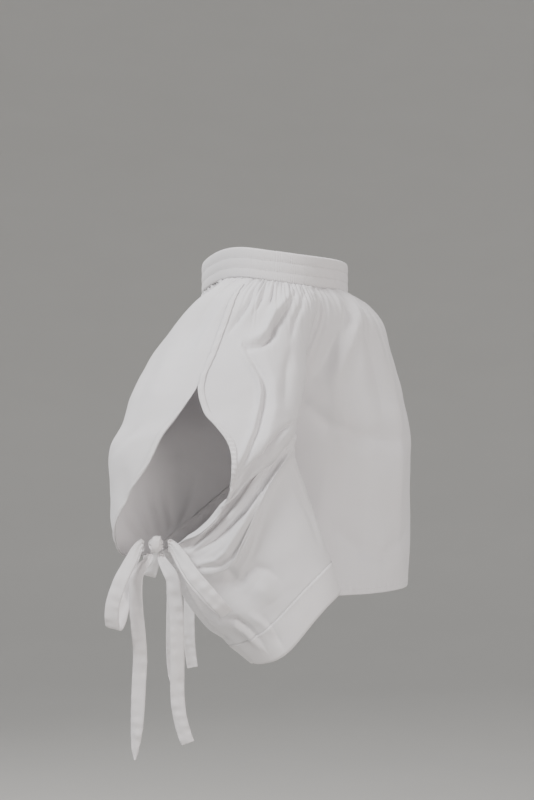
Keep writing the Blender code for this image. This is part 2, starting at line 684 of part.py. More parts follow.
def right_sleeve():
    """Grids and wall directions of the right sleeve's front panel, back panel and cuff."""
    front = sleeve_rows(front_panel_section, FRONT_COLUMNS / 2, 0)
    back = sleeve_rows(back_panel_section, BACK_COLUMNS / 2, BACK_COLUMNS + 1)
    front_normals = grid_normals(front)
    back_normals = grid_normals(back)
    count = len(front)
    share_directions(front_normals, back_normals, front, range(UNDERARM_ROW, count), 0, -1)
    seat_raglan(front, front_normals, 0, FRONT_RAGLAN_TURN)
    seat_raglan(back, back_normals, -1, BACK_RAGLAN_TURN)
    for indices in (range(UNDERARM_ROW + 1), range(KNOT_ROW, count)):
        share_directions(front_normals, back_normals, front, indices, -1, 0)
    for normals in (front_normals, back_normals):
        normals[0] = [Vector((n.x, n.y, 0)).normalized() for n in normals[0]]

    cuff = cuff_grid(front, front_normals, back, back_normals)
    panels = []
    for rows, normals, outer, inner in ((front, front_normals, -1, 0), (back, back_normals, 0, -1)):
        rows, normals = rows[:CUFF_ROW + 1], normals[:CUFF_ROW + 1]
        seam_gaps(rows, normals, outer, inner)
        panels.append((rows, normals))
    return panels[0], panels[1], cuff


def on_left(vector):
    """The same direction on the wearer's left."""
    return Vector((-vector.x, vector.y, vector.z))


def body_panel(name, middle_turn, top_turn, gathers, collection):
    """Front or back panel, from the neckband to the hem, between its raglans and side seams."""
    columns = gathers * 2
    drops = armhole_drops() + LOWER_DROPS
    folds = [
        Fold(fold.name, [(turn * TURN_LENGTH, drop) for turn, drop in fold.path], fold.width, fold.depth)
        for fold in BODY_FOLDS
    ]
    rows, heights = [], []
    for drop in drops:
        lap = RAGLAN_LAP_TURN * max(0.0, 1 - drop / ARCHES[-1].drop)
        reach = abs(raglan_turn(drop, top_turn) - middle_turn) + lap
        turns = [middle_turn - reach + 2 * reach * j / columns for j in range(columns + 1)]
        rows.append([body_point(drop, turn) for turn in turns])
        level = []
        for j, turn in enumerate(turns):
            height = fold_height(folds, turn * TURN_LENGTH, drop)
            height += gather_height(gathers * j / columns, drop)
            inside = min(1.0, max(0, min(j, columns - j) - 1) / 2)
            level.append(height * inside * min(1.0, drop / FLAT_TOP))
        heights.append(level)
    rows = raise_folds(rows, heights)
    normals = grid_normals(rows)
    normals[0] = [Vector((n.x, n.y, 0)).normalized() for n in normals[0]]
    right, left = (-1, 0) if middle_turn == 0 else (0, -1)
    for i, drop in enumerate(drops[UNDERARM_ROW:], UNDERARM_ROW):
        normals[i][right] = body_normal(drop, SIDE_SEAM_TURN)
        normals[i][left] = on_left(normals[i][right])
        for column, beside in ((0, 1), (-1, -2)):
            rows[i][column] = drawn_in(rows[i][column], rows[i][beside], normals[i][column])
    return wall(name, rows, normals, CLOTH, collection)


def strip_on(name, panel, columns, steps, side, collection):
    """A strip that lies on a panel, made from the panel's points moved out, or in if side is -1."""
    rows, normals = panel
    low, high = columns
    lift = side * (CLOTH + SEAM_GAP + LAP_EASE)
    indices = [SLEEVE_STEPS.index(step) for step in steps]
    grid = [[rows[i][j] + normals[i][j] * lift for j in range(low, high)] for i in indices]
    directions = [normals[i][low:high] for i in indices]
    return wall(name, grid, directions, CLOTH, collection)


def ribbon(name, bends, collection):
    """One stretch of the tie: a flat band along its bends, from the knot on."""
    points = [KNOT_PLACE + Vector((-b.out, b.back, -b.down)) for b in bends]
    reach = max(bends, key=lambda b: b.down)
    heading = Vector((0, reach.back - bends[0].back, -reach.down))
    steady_side = heading.cross(Vector((-1, 0, 0)))
    rows, normals = [], []
    last = len(points) - 1
    for i, bend in enumerate(bends):
        run = (points[min(i + 1, last)] - points[max(i - 1, 0)]).normalized()
        side = square_to(steady_side, run)
        face = side.cross(run)
        tilt = math.radians(bend.tilt)
        face, side = (
            face * math.cos(tilt) + side * math.sin(tilt),
            side * math.cos(tilt) - face * math.sin(tilt),
        )
        half = side * bend.width / 2
        rows.append([points[i] - half, points[i] + half])
        normals.append([face, face])
    return wall(name, rows, normals, TIE_CLOTH, collection)


def knot(name, collection):
    """The knot of a tie: a block with well rounded edges."""
    bm = bmesh.new()
    bmesh.ops.create_cube(bm, size=1)
    bmesh.ops.scale(bm, vec=KNOT_SIZE, verts=bm.verts)
    bmesh.ops.bevel(
        bm, geom=bm.edges[:], offset=KNOT_ROUNDING, segments=2, profile=0.5, affect="EDGES"
    )
    bmesh.ops.translate(bm, vec=KNOT_PLACE, verts=bm.verts)
    bmesh.ops.recalc_face_normals(bm, faces=bm.faces)
    mesh_data = bpy.data.meshes.new(name)
    bm.to_mesh(mesh_data)
    bm.free()
    mesh_data.shade_smooth()
    return add_object(name, mesh_data, collection)


def main():
    for old in list(bpy.data.objects):
        bpy.data.objects.remove(old, do_unlink=True)
    collection = bpy.data.collections.new("off_shoulder_top")
    bpy.context.scene.collection.children.link(collection)

    neckband(collection)
    body_panel("front", 0, FRONT_RAGLAN_TURN, FRONT_GATHERS, collection)
    body_panel("back", 180, BACK_RAGLAN_TURN, BACK_GATHERS, collection)

    front, back, cuff = right_sleeve()
    slit = list(range(SLIT_TOP_STEP + 1, KNOT_STEP))
    front_strip = ARMHOLE_STEPS[1:] + slit
    front_edge = (FRONT_COLUMNS, FRONT_COLUMNS + 2)
    both = [
        wall("sleeve_front_right", *front, CLOTH, collection),
        wall("sleeve_back_right", *back, CLOTH, collection),
        wall("cuff_right", *cuff, DOUBLE_CLOTH, collection, closed=True),
        strip_on("placket_front_right", front, front_edge, front_strip, 1, collection),
        strip_on("placket_back_right", back, (0, 2), slit, 1, collection),
        strip_on("tie_casing_right", back, CASING_COLUMNS, CASING_STEPS, -1, collection),
        knot("knot_right", collection),
        ribbon("loop_back_right", LOOP_BACK, collection),
        ribbon("loop_front_right", LOOP_FRONT, collection),
    ]
    for item in both:
        mirrored(item, item.name.replace("_right", "_left"), collection)
    for name, bends in TAILS.items():
        ribbon(name + "_right", bends, collection)
        left = ribbon(name + "_left_pattern", closer(bends), collection)
        mirrored(left, name + "_left", collection)
        bpy.data.objects.remove(left, do_unlink=True)


main()
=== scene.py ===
# Looks of the off-shoulder top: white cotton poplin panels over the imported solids, each a thin
# shell on its solid's form with its folds, gathers, seams and stitches shaped in the mesh.
# Metres, +Z up. The front faces -Y and the wearer's right is at -X.

import math
from collections import namedtuple

import bmesh
import bpy
import numpy as np
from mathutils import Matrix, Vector, noise


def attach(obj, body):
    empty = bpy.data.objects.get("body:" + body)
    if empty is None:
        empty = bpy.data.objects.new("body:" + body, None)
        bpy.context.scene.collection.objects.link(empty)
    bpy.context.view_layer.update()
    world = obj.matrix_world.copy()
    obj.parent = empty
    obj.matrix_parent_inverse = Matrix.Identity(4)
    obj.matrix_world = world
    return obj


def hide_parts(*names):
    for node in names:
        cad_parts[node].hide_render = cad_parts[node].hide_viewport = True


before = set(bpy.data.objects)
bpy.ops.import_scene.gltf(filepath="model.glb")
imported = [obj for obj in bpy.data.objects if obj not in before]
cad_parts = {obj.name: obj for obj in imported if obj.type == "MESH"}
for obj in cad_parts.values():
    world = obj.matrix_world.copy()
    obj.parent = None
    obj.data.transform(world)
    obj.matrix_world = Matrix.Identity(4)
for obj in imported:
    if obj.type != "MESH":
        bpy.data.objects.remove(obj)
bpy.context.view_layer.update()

# Camera: level, 2.5 m to the wearer's right
CAMERA_PLACE = (-2.5, 0.0105, -0.171)
CAMERA_LENS = 82.1

# Cloth and seams
CLOTH = 0.0007
DOUBLE_CLOTH = 0.0014
CAD_CLOTH = 0.0014
SEAM_LIFT = 0.0007
ROUNDNESS = 2.3
SEAM_DEPTH = 0.0007
SEAM_REACH = 0.0025
PUCKER_DEPTH = 0.0005
PUCKER_LENGTH = 0.009
FOLD_CRISPNESS = 1.6
LAP_PEAK = 2.33
NOTCH_PITCH = 0.0056
NOTCH_DEPTH = 0.0030

# Neckband
BAND_HEIGHT = 0.038
BAND_THICKNESS = 0.003
BAND_RIBS = 290
RIB_DEPTH = 0.00055
CHANNEL_PUFF = 0.0009
PANEL_TOP = -BAND_HEIGHT / 2 - 0.0003
SHOULDER_TURN = 119.0
SHOULDER_SPREAD = 34.0
SHOULDER_RISE = 0.0037
NECK_DIP = 0.0125
DIP_FADE = 0.07

# Body
BODY_LENGTH = 0.4
SIDE_SEAM_TURN = 96.0
FRONT_RAGLAN_TURN = 65.6
BACK_RAGLAN_TURN = 135.7
SLEEVE_SEAM_TURN = 106.2
RAGLAN_CURVE = 0.85
TURN_LENGTH = 0.0028
HEM_HEIGHT = 0.009

# Sleeve
INNER_DEPTH = 0.052
UNDERARM_SHARE = 0.14
SEAM_BLEND = 60
CURVE_SAMPLES = 400
SLIT_TOP_STEP = 4
KNOT_STEP = 16
CUFF_STEP = 27
HEM_STEP = 28
STRIP_WIDTH = 0.0075
OUTER_SHARE = 0.45

# Ties
TIE_CLOTH = 0.0011
LEFT_SPREAD = 0.4
KNOT_PLACE = Vector((-0.2918, 0.1449, -0.346))
KNOT_SIZE = Vector((0.022, 0.028, 0.021))

Level = namedtuple("Level", "drop half_width front back")
Arch = namedtuple("Arch", "step drop front_turn back_turn")
Section = namedtuple(
    "Section", "step front_y front_z back_y back_z out core front_end back_end sag"
)
Fold = namedtuple("Fold", "name path width depth lap", defaults=(0,))
Bend = namedtuple("Bend", "out back down width tilt")

# The body's outline, level by level
BODY = [
    Level(0.000, 0.205, -0.0970, 0.097),
    Level(0.019, 0.199, -0.1220, 0.101),
    Level(0.045, 0.190, -0.1435, 0.105),
    Level(0.077, 0.181, -0.1553, 0.109),
    Level(0.111, 0.174, -0.1662, 0.112),
    Level(0.149, 0.168, -0.1755, 0.114),
    Level(0.207, 0.171, -0.1850, 0.116),
    Level(0.289, 0.180, -0.1820, 0.117),
    Level(0.344, 0.185, -0.1827, 0.118),
    Level(BODY_LENGTH, 0.189, -0.1805, 0.119),
]

# Where each sleeve section above the underarm meets the body
ARCHES = [
    Arch(0, 0.000, 0.0, 180.0),
    Arch(1, 0.028, -5.0, 190.0),
    Arch(2, 0.056, -14.0, 215.0),
    Arch(3, 0.089, -25.0, 250.0),
    Arch(4, 0.125, -41.0, 319.0),
]

# Sleeve sections from the neckband down to the hem of the cuff, each a ring from a front fold to
# a back fold
SLEEVE = [
    Section(0, -0.0450, -0.0193, 0.0830, -0.0193, 0.205, 0.1775, 0.650, 0.650, 0.0000),
    Section(1, -0.0460, -0.0480, 0.1100, -0.0420, 0.234, 0.1860, 0.645, 0.645, 0.0000),
    Section(2, -0.0440, -0.0750, 0.1360, -0.0840, 0.256, 0.1900, 0.623, 0.623, 0.0000),
    Section(3, -0.0410, -0.1020, 0.1590, -0.1220, 0.275, 0.2015, 0.604, 0.604, 0.0000),
    Section(4, -0.0370, -0.1360, 0.1800, -0.1635, 0.293, 0.2225, 0.603, 0.603, 0.0000),
    Section(5, -0.0330, -0.1650, 0.1890, -0.2020, 0.307, 0.2435, 0.540, 0.680, 0.0000),
    Section(6, -0.0300, -0.1800, 0.2030, -0.2300, 0.317, 0.2530, 0.440, 0.714, 0.0000),
    Section(7, -0.0280, -0.1900, 0.2040, -0.2650, 0.325, 0.2570, 0.378, 0.777, 0.0000),
    Section(8, -0.0265, -0.1960, 0.2020, -0.2970, 0.331, 0.2590, 0.353, 0.891, 0.0000),
    Section(9, -0.0255, -0.2000, 0.2000, -0.3290, 0.335, 0.2600, 0.346, 0.970, 0.0000),
    Section(10, -0.0250, -0.2035, 0.1910, -0.3570, 0.335, 0.2600, 0.360, 1.000, 0.0000),
    Section(11, -0.0245, -0.2060, 0.1720, -0.3625, 0.331, 0.2590, 0.402, 1.000, 0.0030),
    Section(12, -0.0240, -0.2085, 0.1560, -0.3590, 0.326, 0.2580, 0.456, 1.000, 0.0080),
    Section(13, -0.0235, -0.2110, 0.1520, -0.3580, 0.322, 0.2570, 0.578, 0.990, 0.0190),
    Section(14, -0.0235, -0.2130, 0.1480, -0.3570, 0.318, 0.2565, 0.732, 0.980, 0.0167),
    Section(15, -0.0235, -0.2150, 0.1440, -0.3560, 0.313, 0.2560, 0.865, 0.975, 0.0120),
    Section(16, -0.0235, -0.2170, 0.1405, -0.3550, 0.308, 0.2560, 0.970, 0.970, 0.0120),
    Section(17, -0.0235, -0.2200, 0.1385, -0.3580, 0.309, 0.2550, 0.970, 0.970, 0.0160),
    Section(18, -0.0235, -0.2230, 0.1365, -0.3610, 0.313, 0.2550, 0.970, 0.970, 0.0220),
    Section(19, -0.0235, -0.2260, 0.1345, -0.3650, 0.314, 0.2550, 0.970, 0.970, 0.0290),
    Section(20, -0.0235, -0.2290, 0.1325, -0.3690, 0.319, 0.2550, 0.970, 0.970, 0.0380),
    Section(21, -0.0235, -0.2325, 0.1300, -0.3730, 0.323, 0.2550, 0.970, 0.970, 0.0520),
    Section(22, -0.0235, -0.2360, 0.1270, -0.3800, 0.312, 0.2545, 0.970, 0.970, 0.0500),
    Section(23, -0.0245, -0.2430, 0.1190, -0.4020, 0.305, 0.2540, 0.970, 0.970, 0.0440),
    Section(24, -0.0300, -0.2600, 0.1030, -0.4290, 0.304, 0.2535, 0.970, 0.970, 0.0320),
    Section(25, -0.0430, -0.2980, 0.0830, -0.4520, 0.303, 0.2530, 0.970, 0.970, 0.0180),
    Section(26, -0.0570, -0.3370, 0.0660, -0.4630, 0.300, 0.2525, 0.970, 0.970, 0.0090),
    Section(CUFF_STEP, -0.0685, -0.3700, 0.0570, -0.4720, 0.297, 0.2515, 0.970, 0.970, 0.0100),
    Section(HEM_STEP, -0.0795, -0.4080, 0.0315, -0.4930, 0.295, 0.2505, 0.970, 0.970, 0.0155),
]

# Folds of the sleeve's outer side, as places (y, z) seen from the side; a trough is less than 0
# deep, and a lap has its ridge to the left of its path and its trough to the right
FRONT_SLEEVE_FOLDS = [
    Fold("deep trough", [(-0.023, -0.038), (-0.014, -0.058), (-0.007, -0.069), (0.000, -0.078),
                         (0.003, -0.088), (0.008, -0.096), (0.016, -0.103), (0.034, -0.107)],
         0.0042, -0.0125),
    Fold("lip over it", [(-0.018, -0.040), (-0.008, -0.054), (0.001, -0.064), (0.007, -0.076),
                         (0.011, -0.086), (0.019, -0.094), (0.030, -0.098)], 0.0060, 0.0085),
    Fold("side crease", [(0.040, -0.106), (0.035, -0.117), (0.027, -0.131), (0.019, -0.145),
                         (0.016, -0.160), (0.018, -0.180), (0.025, -0.209), (0.036, -0.236),
                         (0.047, -0.256)], 0.0042, 0.0048, 1),
    Fold("ridge beside it", [(0.016, -0.112), (0.003, -0.146), (0.002, -0.182), (0.010, -0.215),
                             (0.026, -0.245)], 0.0110, 0.0060),
    Fold("long gather", [(-0.036, -0.034), (-0.032, -0.055), (-0.025, -0.071), (-0.020, -0.095)],
         0.0030, -0.0042),
    Fold("front soft trough", [(-0.020, -0.105), (-0.014, -0.134), (-0.010, -0.175)], 0.0060, -0.0034),
    Fold("strip groove", [(0.025, -0.027), (0.030, -0.046), (0.038, -0.060), (0.048, -0.074),
                          (0.057, -0.088)], 0.0030, -0.0058),
    Fold("second groove", [(0.012, -0.027), (0.016, -0.043), (0.026, -0.063)], 0.0028, -0.0046),
    Fold("third groove", [(0.001, -0.027), (0.003, -0.040), (0.010, -0.058)], 0.0026, -0.0036),
    Fold("swell between", [(0.019, -0.034), (0.027, -0.056), (0.040, -0.076)], 0.0050, 0.0028),
    Fold("line A", [(-0.022, -0.198), (-0.008, -0.207), (0.003, -0.220), (0.013, -0.235),
                    (0.025, -0.247), (0.039, -0.265), (0.056, -0.277)], 0.0030, -0.0080),
    Fold("strand 1", [(-0.023, -0.207), (-0.002, -0.231), (0.016, -0.256), (0.036, -0.286),
                      (0.056, -0.311), (0.078, -0.333), (0.102, -0.355)], 0.0052, 0.0056),
    Fold("line B0", [(0.024, -0.262), (0.042, -0.289), (0.064, -0.314), (0.087, -0.335),
                     (0.104, -0.352)], 0.0026, -0.0046),
    Fold("line B1", [(0.034, -0.265), (0.049, -0.282), (0.060, -0.298), (0.078, -0.313),
                     (0.096, -0.328), (0.111, -0.342)], 0.0026, -0.0052),
    Fold("line B2", [(-0.019, -0.223), (-0.002, -0.247), (0.016, -0.272), (0.033, -0.299),
                     (0.051, -0.319), (0.073, -0.339), (0.096, -0.353)], 0.0032, -0.0082),
    Fold("strand 3", [(0.021, -0.283), (0.035, -0.311), (0.050, -0.333), (0.068, -0.351),
                      (0.086, -0.362)], 0.0052, 0.0038),
    Fold("line C", [(0.018, -0.286), (0.033, -0.318), (0.047, -0.340), (0.058, -0.356),
                    (0.070, -0.366), (0.091, -0.371)], 0.0038, 0.0056, 1),
    Fold("below line C", [(0.008, -0.289), (0.020, -0.322), (0.034, -0.351), (0.052, -0.373),
                          (0.078, -0.384)], 0.0110, -0.0095),
    Fold("slit fold", [(0.060, -0.262), (0.072, -0.292), (0.090, -0.312), (0.109, -0.335)],
         0.0030, -0.0040),
]
BACK_SLEEVE_FOLDS = [
    Fold("broad shade", [(0.073, -0.040), (0.094, -0.074), (0.115, -0.107), (0.133, -0.150)],
         0.0120, -0.0068),
    Fold("seam ridge", [(0.052, -0.035), (0.072, -0.065), (0.090, -0.095), (0.097, -0.125)],
         0.0060, 0.0026),
    Fold("back hollow", [(0.137, -0.092), (0.164, -0.152), (0.179, -0.194)], 0.0100, -0.0048),
    Fold("elbow crease", [(0.198, -0.236), (0.182, -0.216), (0.165, -0.203)], 0.0050, -0.0036),
    Fold("pouch trough", [(0.186, -0.250), (0.181, -0.290), (0.170, -0.330)], 0.0080, -0.0038),
    Fold("pouch crease", [(0.176, -0.338), (0.160, -0.331), (0.148, -0.322)], 0.0040, -0.0026),
]
LOWER_SLEEVE_FOLDS = [
    Fold("dent", [(0.082, -0.378), (0.060, -0.376), (0.046, -0.388)], 0.0075, -0.0080),
    Fold("soft arch", [(0.044, -0.396), (0.036, -0.380), (0.024, -0.372), (0.008, -0.376),
                       (-0.004, -0.388)], 0.0060, -0.0040),
    Fold("below the arch", [(0.026, -0.394), (0.014, -0.402), (0.004, -0.416)], 0.0120, 0.0034),
    Fold("front line", [(-0.018, -0.250), (-0.031, -0.285), (-0.045, -0.312), (-0.056, -0.348)],
         0.0036, 0.0030, -1),
    Fold("cuff fold", [(0.066, -0.440), (0.048, -0.440), (0.034, -0.450), (0.018, -0.468)],
         0.0048, 0.0048, 1),
    Fold("cuff ridge", [(0.034, -0.428), (0.016, -0.440), (0.000, -0.454)], 0.0065, 0.0040),
    Fold("cuff second fold", [(0.018, -0.430), (0.004, -0.446), (-0.008, -0.470)], 0.0042, -0.0036),
    Fold("left hollow", [(0.112, -0.383), (0.094, -0.410), (0.076, -0.434)], 0.0080, -0.0046),
]
# Folds of the sleeve's inner side, which gather towards the knot
INNER_SLEEVE_FOLDS = [
    Fold("inner 1", [(0.176, -0.262), (0.170, -0.302), (0.160, -0.329), (0.151, -0.347)], 0.0045, 0.0050),
    Fold("inner 2", [(0.159, -0.258), (0.154, -0.297), (0.146, -0.323), (0.143, -0.345)], 0.0042, 0.0060),
    Fold("inner 3", [(0.142, -0.266), (0.136, -0.304), (0.131, -0.327), (0.137, -0.345)], 0.0042, 0.0050),
    Fold("inner 4", [(0.190, -0.300), (0.176, -0.329), (0.160, -0.352)], 0.0050, 0.0050),
    Fold("inner 5", [(0.100, -0.270), (0.110, -0.307), (0.121, -0.329), (0.133, -0.347)], 0.0046, 0.0040),
]

# Folds of the body, as places (turn, drop)
BODY_FOLDS = [
    Fold("right shade", [(47, 0.020), (64, 0.065), (84, 0.125)], 0.0100, -0.0105),
    Fold("right shade lip", [(41, 0.020), (57, 0.070), (74, 0.125)], 0.0110, 0.0050),
    Fold("right bust sweep", [(88, 0.160), (78, 0.184), (62, 0.199), (30, 0.203)], 0.0110, -0.0088),
    Fold("right bust swell", [(70, 0.140), (50, 0.165), (25, 0.170)], 0.0300, 0.0030),
    Fold("right drop", [(38, 0.020), (33, 0.120), (34, 0.250), (30, 0.370)], 0.0180, 0.0056),
    Fold("right drop shade", [(48, 0.030), (45, 0.110), (47, 0.180)], 0.0130, -0.0030),
    Fold("right low turn", [(76, 0.320), (62, 0.346), (45, 0.354), (20, 0.325)], 0.0120, -0.0066),
    Fold("right hip drop", [(80, 0.230), (84, 0.310), (80, 0.390)], 0.0180, 0.0040),
    Fold("left shade", [(-52, 0.018), (-66, 0.075), (-82, 0.135)], 0.0170, -0.0065),
    Fold("left bust sweep", [(-84, 0.180), (-66, 0.203), (-24, 0.194)], 0.0200, -0.0045),
    Fold("left drop", [(-33, 0.015), (-37, 0.130), (-32, 0.260), (-38, 0.375)], 0.0210, 0.0055),
    Fold("left second drop", [(-62, 0.150), (-60, 0.270), (-66, 0.390)], 0.0160, -0.0040),
    Fold("middle drop", [(4, 0.020), (6, 0.100), (2, 0.190)], 0.0150, -0.0030),
    Fold("middle low drop", [(-6, 0.240), (-3, 0.320), (-8, 0.395)], 0.0180, 0.0036),
    Fold("back middle drop", [(172, 0.030), (176, 0.200), (169, 0.370)], 0.0240, -0.0066),
    Fold("back right drop", [(140, 0.040), (143, 0.180), (138, 0.360)], 0.0220, 0.0062),
    Fold("back left drop", [(212, 0.045), (207, 0.220), (214, 0.370)], 0.0220, 0.0060),
    Fold("back small drop", [(156, 0.060), (159, 0.170), (154, 0.300)], 0.0110, -0.0034),
    Fold("back slant", [(236, 0.110), (222, 0.200), (196, 0.260)], 0.0140, -0.0040),
    Fold("back hip", [(122, 0.210), (128, 0.300), (120, 0.395)], 0.0170, -0.0040),
]

# Loops and tails of the tie, measured from the middle of the knot
TAIL_BACK = [
    Bend(0.004, 0.0070, 0.0108, 0.009, 0),
    Bend(0.004, 0.0071, 0.0140, 0.009, 0),
    Bend(0.007, 0.0095, 0.0185, 0.011, 5),
    Bend(0.012, 0.0165, 0.0265, 0.0135, 10),
    Bend(0.017, 0.0230, 0.0410, 0.0165, 20),
    Bend(0.017, 0.0230, 0.0740, 0.017, 10),
    Bend(0.016, 0.0200, 0.1060, 0.017, -5),
    Bend(0.015, 0.0180, 0.1340, 0.017, -15),
    Bend(0.015, 0.0195, 0.1640, 0.017, 0),
    Bend(0.016, 0.0220, 0.2140, 0.016, 15),
    Bend(0.015, 0.0240, 0.2440, 0.009, 10),
    Bend(0.015, 0.0245, 0.2580, 0.002, 5),
]
TAIL_FRONT = [
    Bend(0.004, -0.0065, 0.0108, 0.009, 0),
    Bend(0.004, -0.0066, 0.0140, 0.009, 0),
    Bend(0.010, -0.0085, 0.0185, 0.011, 5),
    Bend(0.019, -0.0140, 0.0265, 0.014, 10),
    Bend(0.026, -0.0215, 0.0410, 0.0165, 15),
    Bend(0.025, -0.0255, 0.0740, 0.017, 5),
    Bend(0.022, -0.0270, 0.1170, 0.017, -5),
    Bend(0.020, -0.0270, 0.1560, 0.017, -10),
    Bend(0.019, -0.0270, 0.1810, 0.017, 0),
    Bend(0.019, -0.0295, 0.2040, 0.017, 10),
    Bend(0.019, -0.0345, 0.2240, 0.017, 10),
    Bend(0.019, -0.0395, 0.2370, 0.016, 10),
]
LOOP_BACK = [
    Bend(0.006, 0.0147, -0.0030, 0.008, 0),
    Bend(0.006, 0.0175, -0.0028, 0.008, 0),
    Bend(0.014, 0.0225, 0.0030, 0.011, 5),
    Bend(0.026, 0.0285, 0.0170, 0.015, 10),
    Bend(0.038, 0.0400, 0.0400, 0.017, 10),
    Bend(0.043, 0.0485, 0.0660, 0.017, 5),
    Bend(0.041, 0.0500, 0.0880, 0.017, 0),
    Bend(0.032, 0.0480, 0.0975, 0.017, 0),
    Bend(0.020, 0.0430, 0.0900, 0.017, 0),
    Bend(0.011, 0.0370, 0.0660, 0.016, 0),
    Bend(0.002, 0.0310, 0.0420, 0.015, 0),
    Bend(-0.002, 0.0275, 0.0240, 0.012, 0),
    Bend(-0.005, 0.0220, 0.0090, 0.009, 0),
    Bend(-0.006, 0.0178, 0.0050, 0.008, 0),
    Bend(-0.006, 0.0147, 0.0048, 0.008, 0),
]
LOOP_FRONT = [
    Bend(0.006, -0.0147, -0.0030, 0.008, 0),
    Bend(0.006, -0.0175, -0.0028, 0.008, 0),
    Bend(0.012, -0.0235, 0.0015, 0.010, 0),
    Bend(0.032, -0.0320, 0.0120, 0.014, 0),
    Bend(0.052, -0.0460, 0.0315, 0.017, 0),
    Bend(0.058, -0.0630, 0.0505, 0.017, 5),
    Bend(0.057, -0.0790, 0.0690, 0.017, 10),
    Bend(0.049, -0.0860, 0.0780, 0.017, 10),
    Bend(0.039, -0.0820, 0.0770, 0.017, 10),
    Bend(0.034, -0.0660, 0.0620, 0.017, 10),
    Bend(0.022, -0.0480, 0.0430, 0.016, 10),
    Bend(0.008, -0.0320, 0.0240, 0.012, 5),
    Bend(0.000, -0.0220, 0.0085, 0.009, 0),
    Bend(-0.001, -0.0178, 0.0050, 0.008, 0),
    Bend(-0.001, -0.0147, 0.0048, 0.008, 0),
]


# Forms shared with the solids

def power(values, exponent):
    """Raises numbers to a power and keeps their signs."""
    return np.sign(values) * np.abs(values) ** exponent


def between(start, end, start_slope, end_slope, share):
    """Smooth value between two others with known slopes."""
    square = share * share
    cube = square * share
    value = start * (2 * cube - 3 * square + 1) + end * (3 * square - 2 * cube)
    return value + start_slope * (cube - 2 * square + share) + end_slope * (cube - square)


def row_at(table, at):
    """Row of a table at any value of its first column, on a smooth curve through its rows."""
    rows = np.array(table, float)
    index = int(np.clip(np.searchsorted(rows[:, 0], at, side="right") - 1, 0, len(rows) - 2))
    before, after = max(index - 1, 0), min(index + 2, len(rows) - 1)
    low, high = rows[index], rows[index + 1]
    span = high[0] - low[0]
    start_slope = (high - rows[before]) / (high[0] - rows[before][0]) * span
    end_slope = (rows[after] - low) / (rows[after][0] - low[0]) * span
    values = between(low, high, start_slope, end_slope, (at - low[0]) / span)
    values[0] = at
    return type(table[0])(*values)


def unit(vectors):
    """Vectors made one long."""
    return vectors / np.maximum(np.linalg.norm(vectors, axis=-1, keepdims=True), 1e-12)


def neck_dip(turns):
    """How far the neckline lies below its height in the middle of the shoulder."""
    from_front = np.abs((turns + 180) % 360 - 180)
    rise = np.exp(-(((from_front - SHOULDER_TURN) / SHOULDER_SPREAD) ** 2))
    return NECK_DIP * (1 - rise) - SHOULDER_RISE


def body_points(drop, turns):
    """Points of the body's surface at one drop, before its folds."""
    level = row_at(BODY, drop)
    dip = neck_dip(turns) * max(0.0, 1 - drop / DIP_FADE) ** 2
    angle = np.radians(turns)
    middle = (level.front + level.back) / 2
    half_depth = (level.back - level.front) / 2
    x = -level.half_width * power(np.sin(angle), 2 / ROUNDNESS)
    y = middle - half_depth * power(np.cos(angle), 2 / ROUNDNESS)
    return np.stack([x, y, PANEL_TOP - drop - dip], axis=-1)


def body_normals(drop, turns):
    """Outward directions of the body's surface at one drop."""
    across = body_points(drop, turns + 1) - body_points(drop, turns - 1)
    down = body_points(drop + 0.004, turns) - body_points(max(drop - 0.004, 0), turns)
    return unit(np.cross(across, down))


def level_normals(turns):
    """Level outward directions of the neckband."""
    across = body_points(0, turns + 0.5) - body_points(0, turns - 0.5)
    return unit(np.stack([-across[:, 1], across[:, 0], np.zeros(len(across))], axis=-1))


def raglan_turn(drop, top_turn):
    """Turn at which a raglan seam that starts at top_turn crosses a drop."""
    share = min(drop / ARCHES[-1].drop, 1.0)
    return top_turn + (SIDE_SEAM_TURN - top_turn) * share**RAGLAN_CURVE


def ring_points(section, angles):
    """Points of a sleeve section: 0 is its front fold, 90 its outer side and 180 its back fold."""
    front = np.array([0, section.front_y, section.front_z])
    back = np.array([0, section.back_y, section.back_z])
    aside = power(np.sin(np.radians(angles)), 2 / ROUNDNESS)
    along = (1 - power(np.cos(np.radians(angles)), 2 / ROUNDNESS)) / 2
    points = front + (back - front) * along[:, None]
    reach = np.where(aside > 0, section.out - section.core, INNER_DEPTH)
    points[:, 0] = -section.core - reach * aside
    run = (back - front) / np.linalg.norm(back - front)
    sag = section.sag * np.sin(np.pi * along**2) * (aside > 0)
    return points + np.array([0, run[2], -run[1]]) * sag[:, None]


def ring_angle(share):
    """Angle on a sleeve section's outer side at a share of the way from front to back."""
    return math.degrees(math.acos(power(1 - 2 * share, ROUNDNESS / 2)))


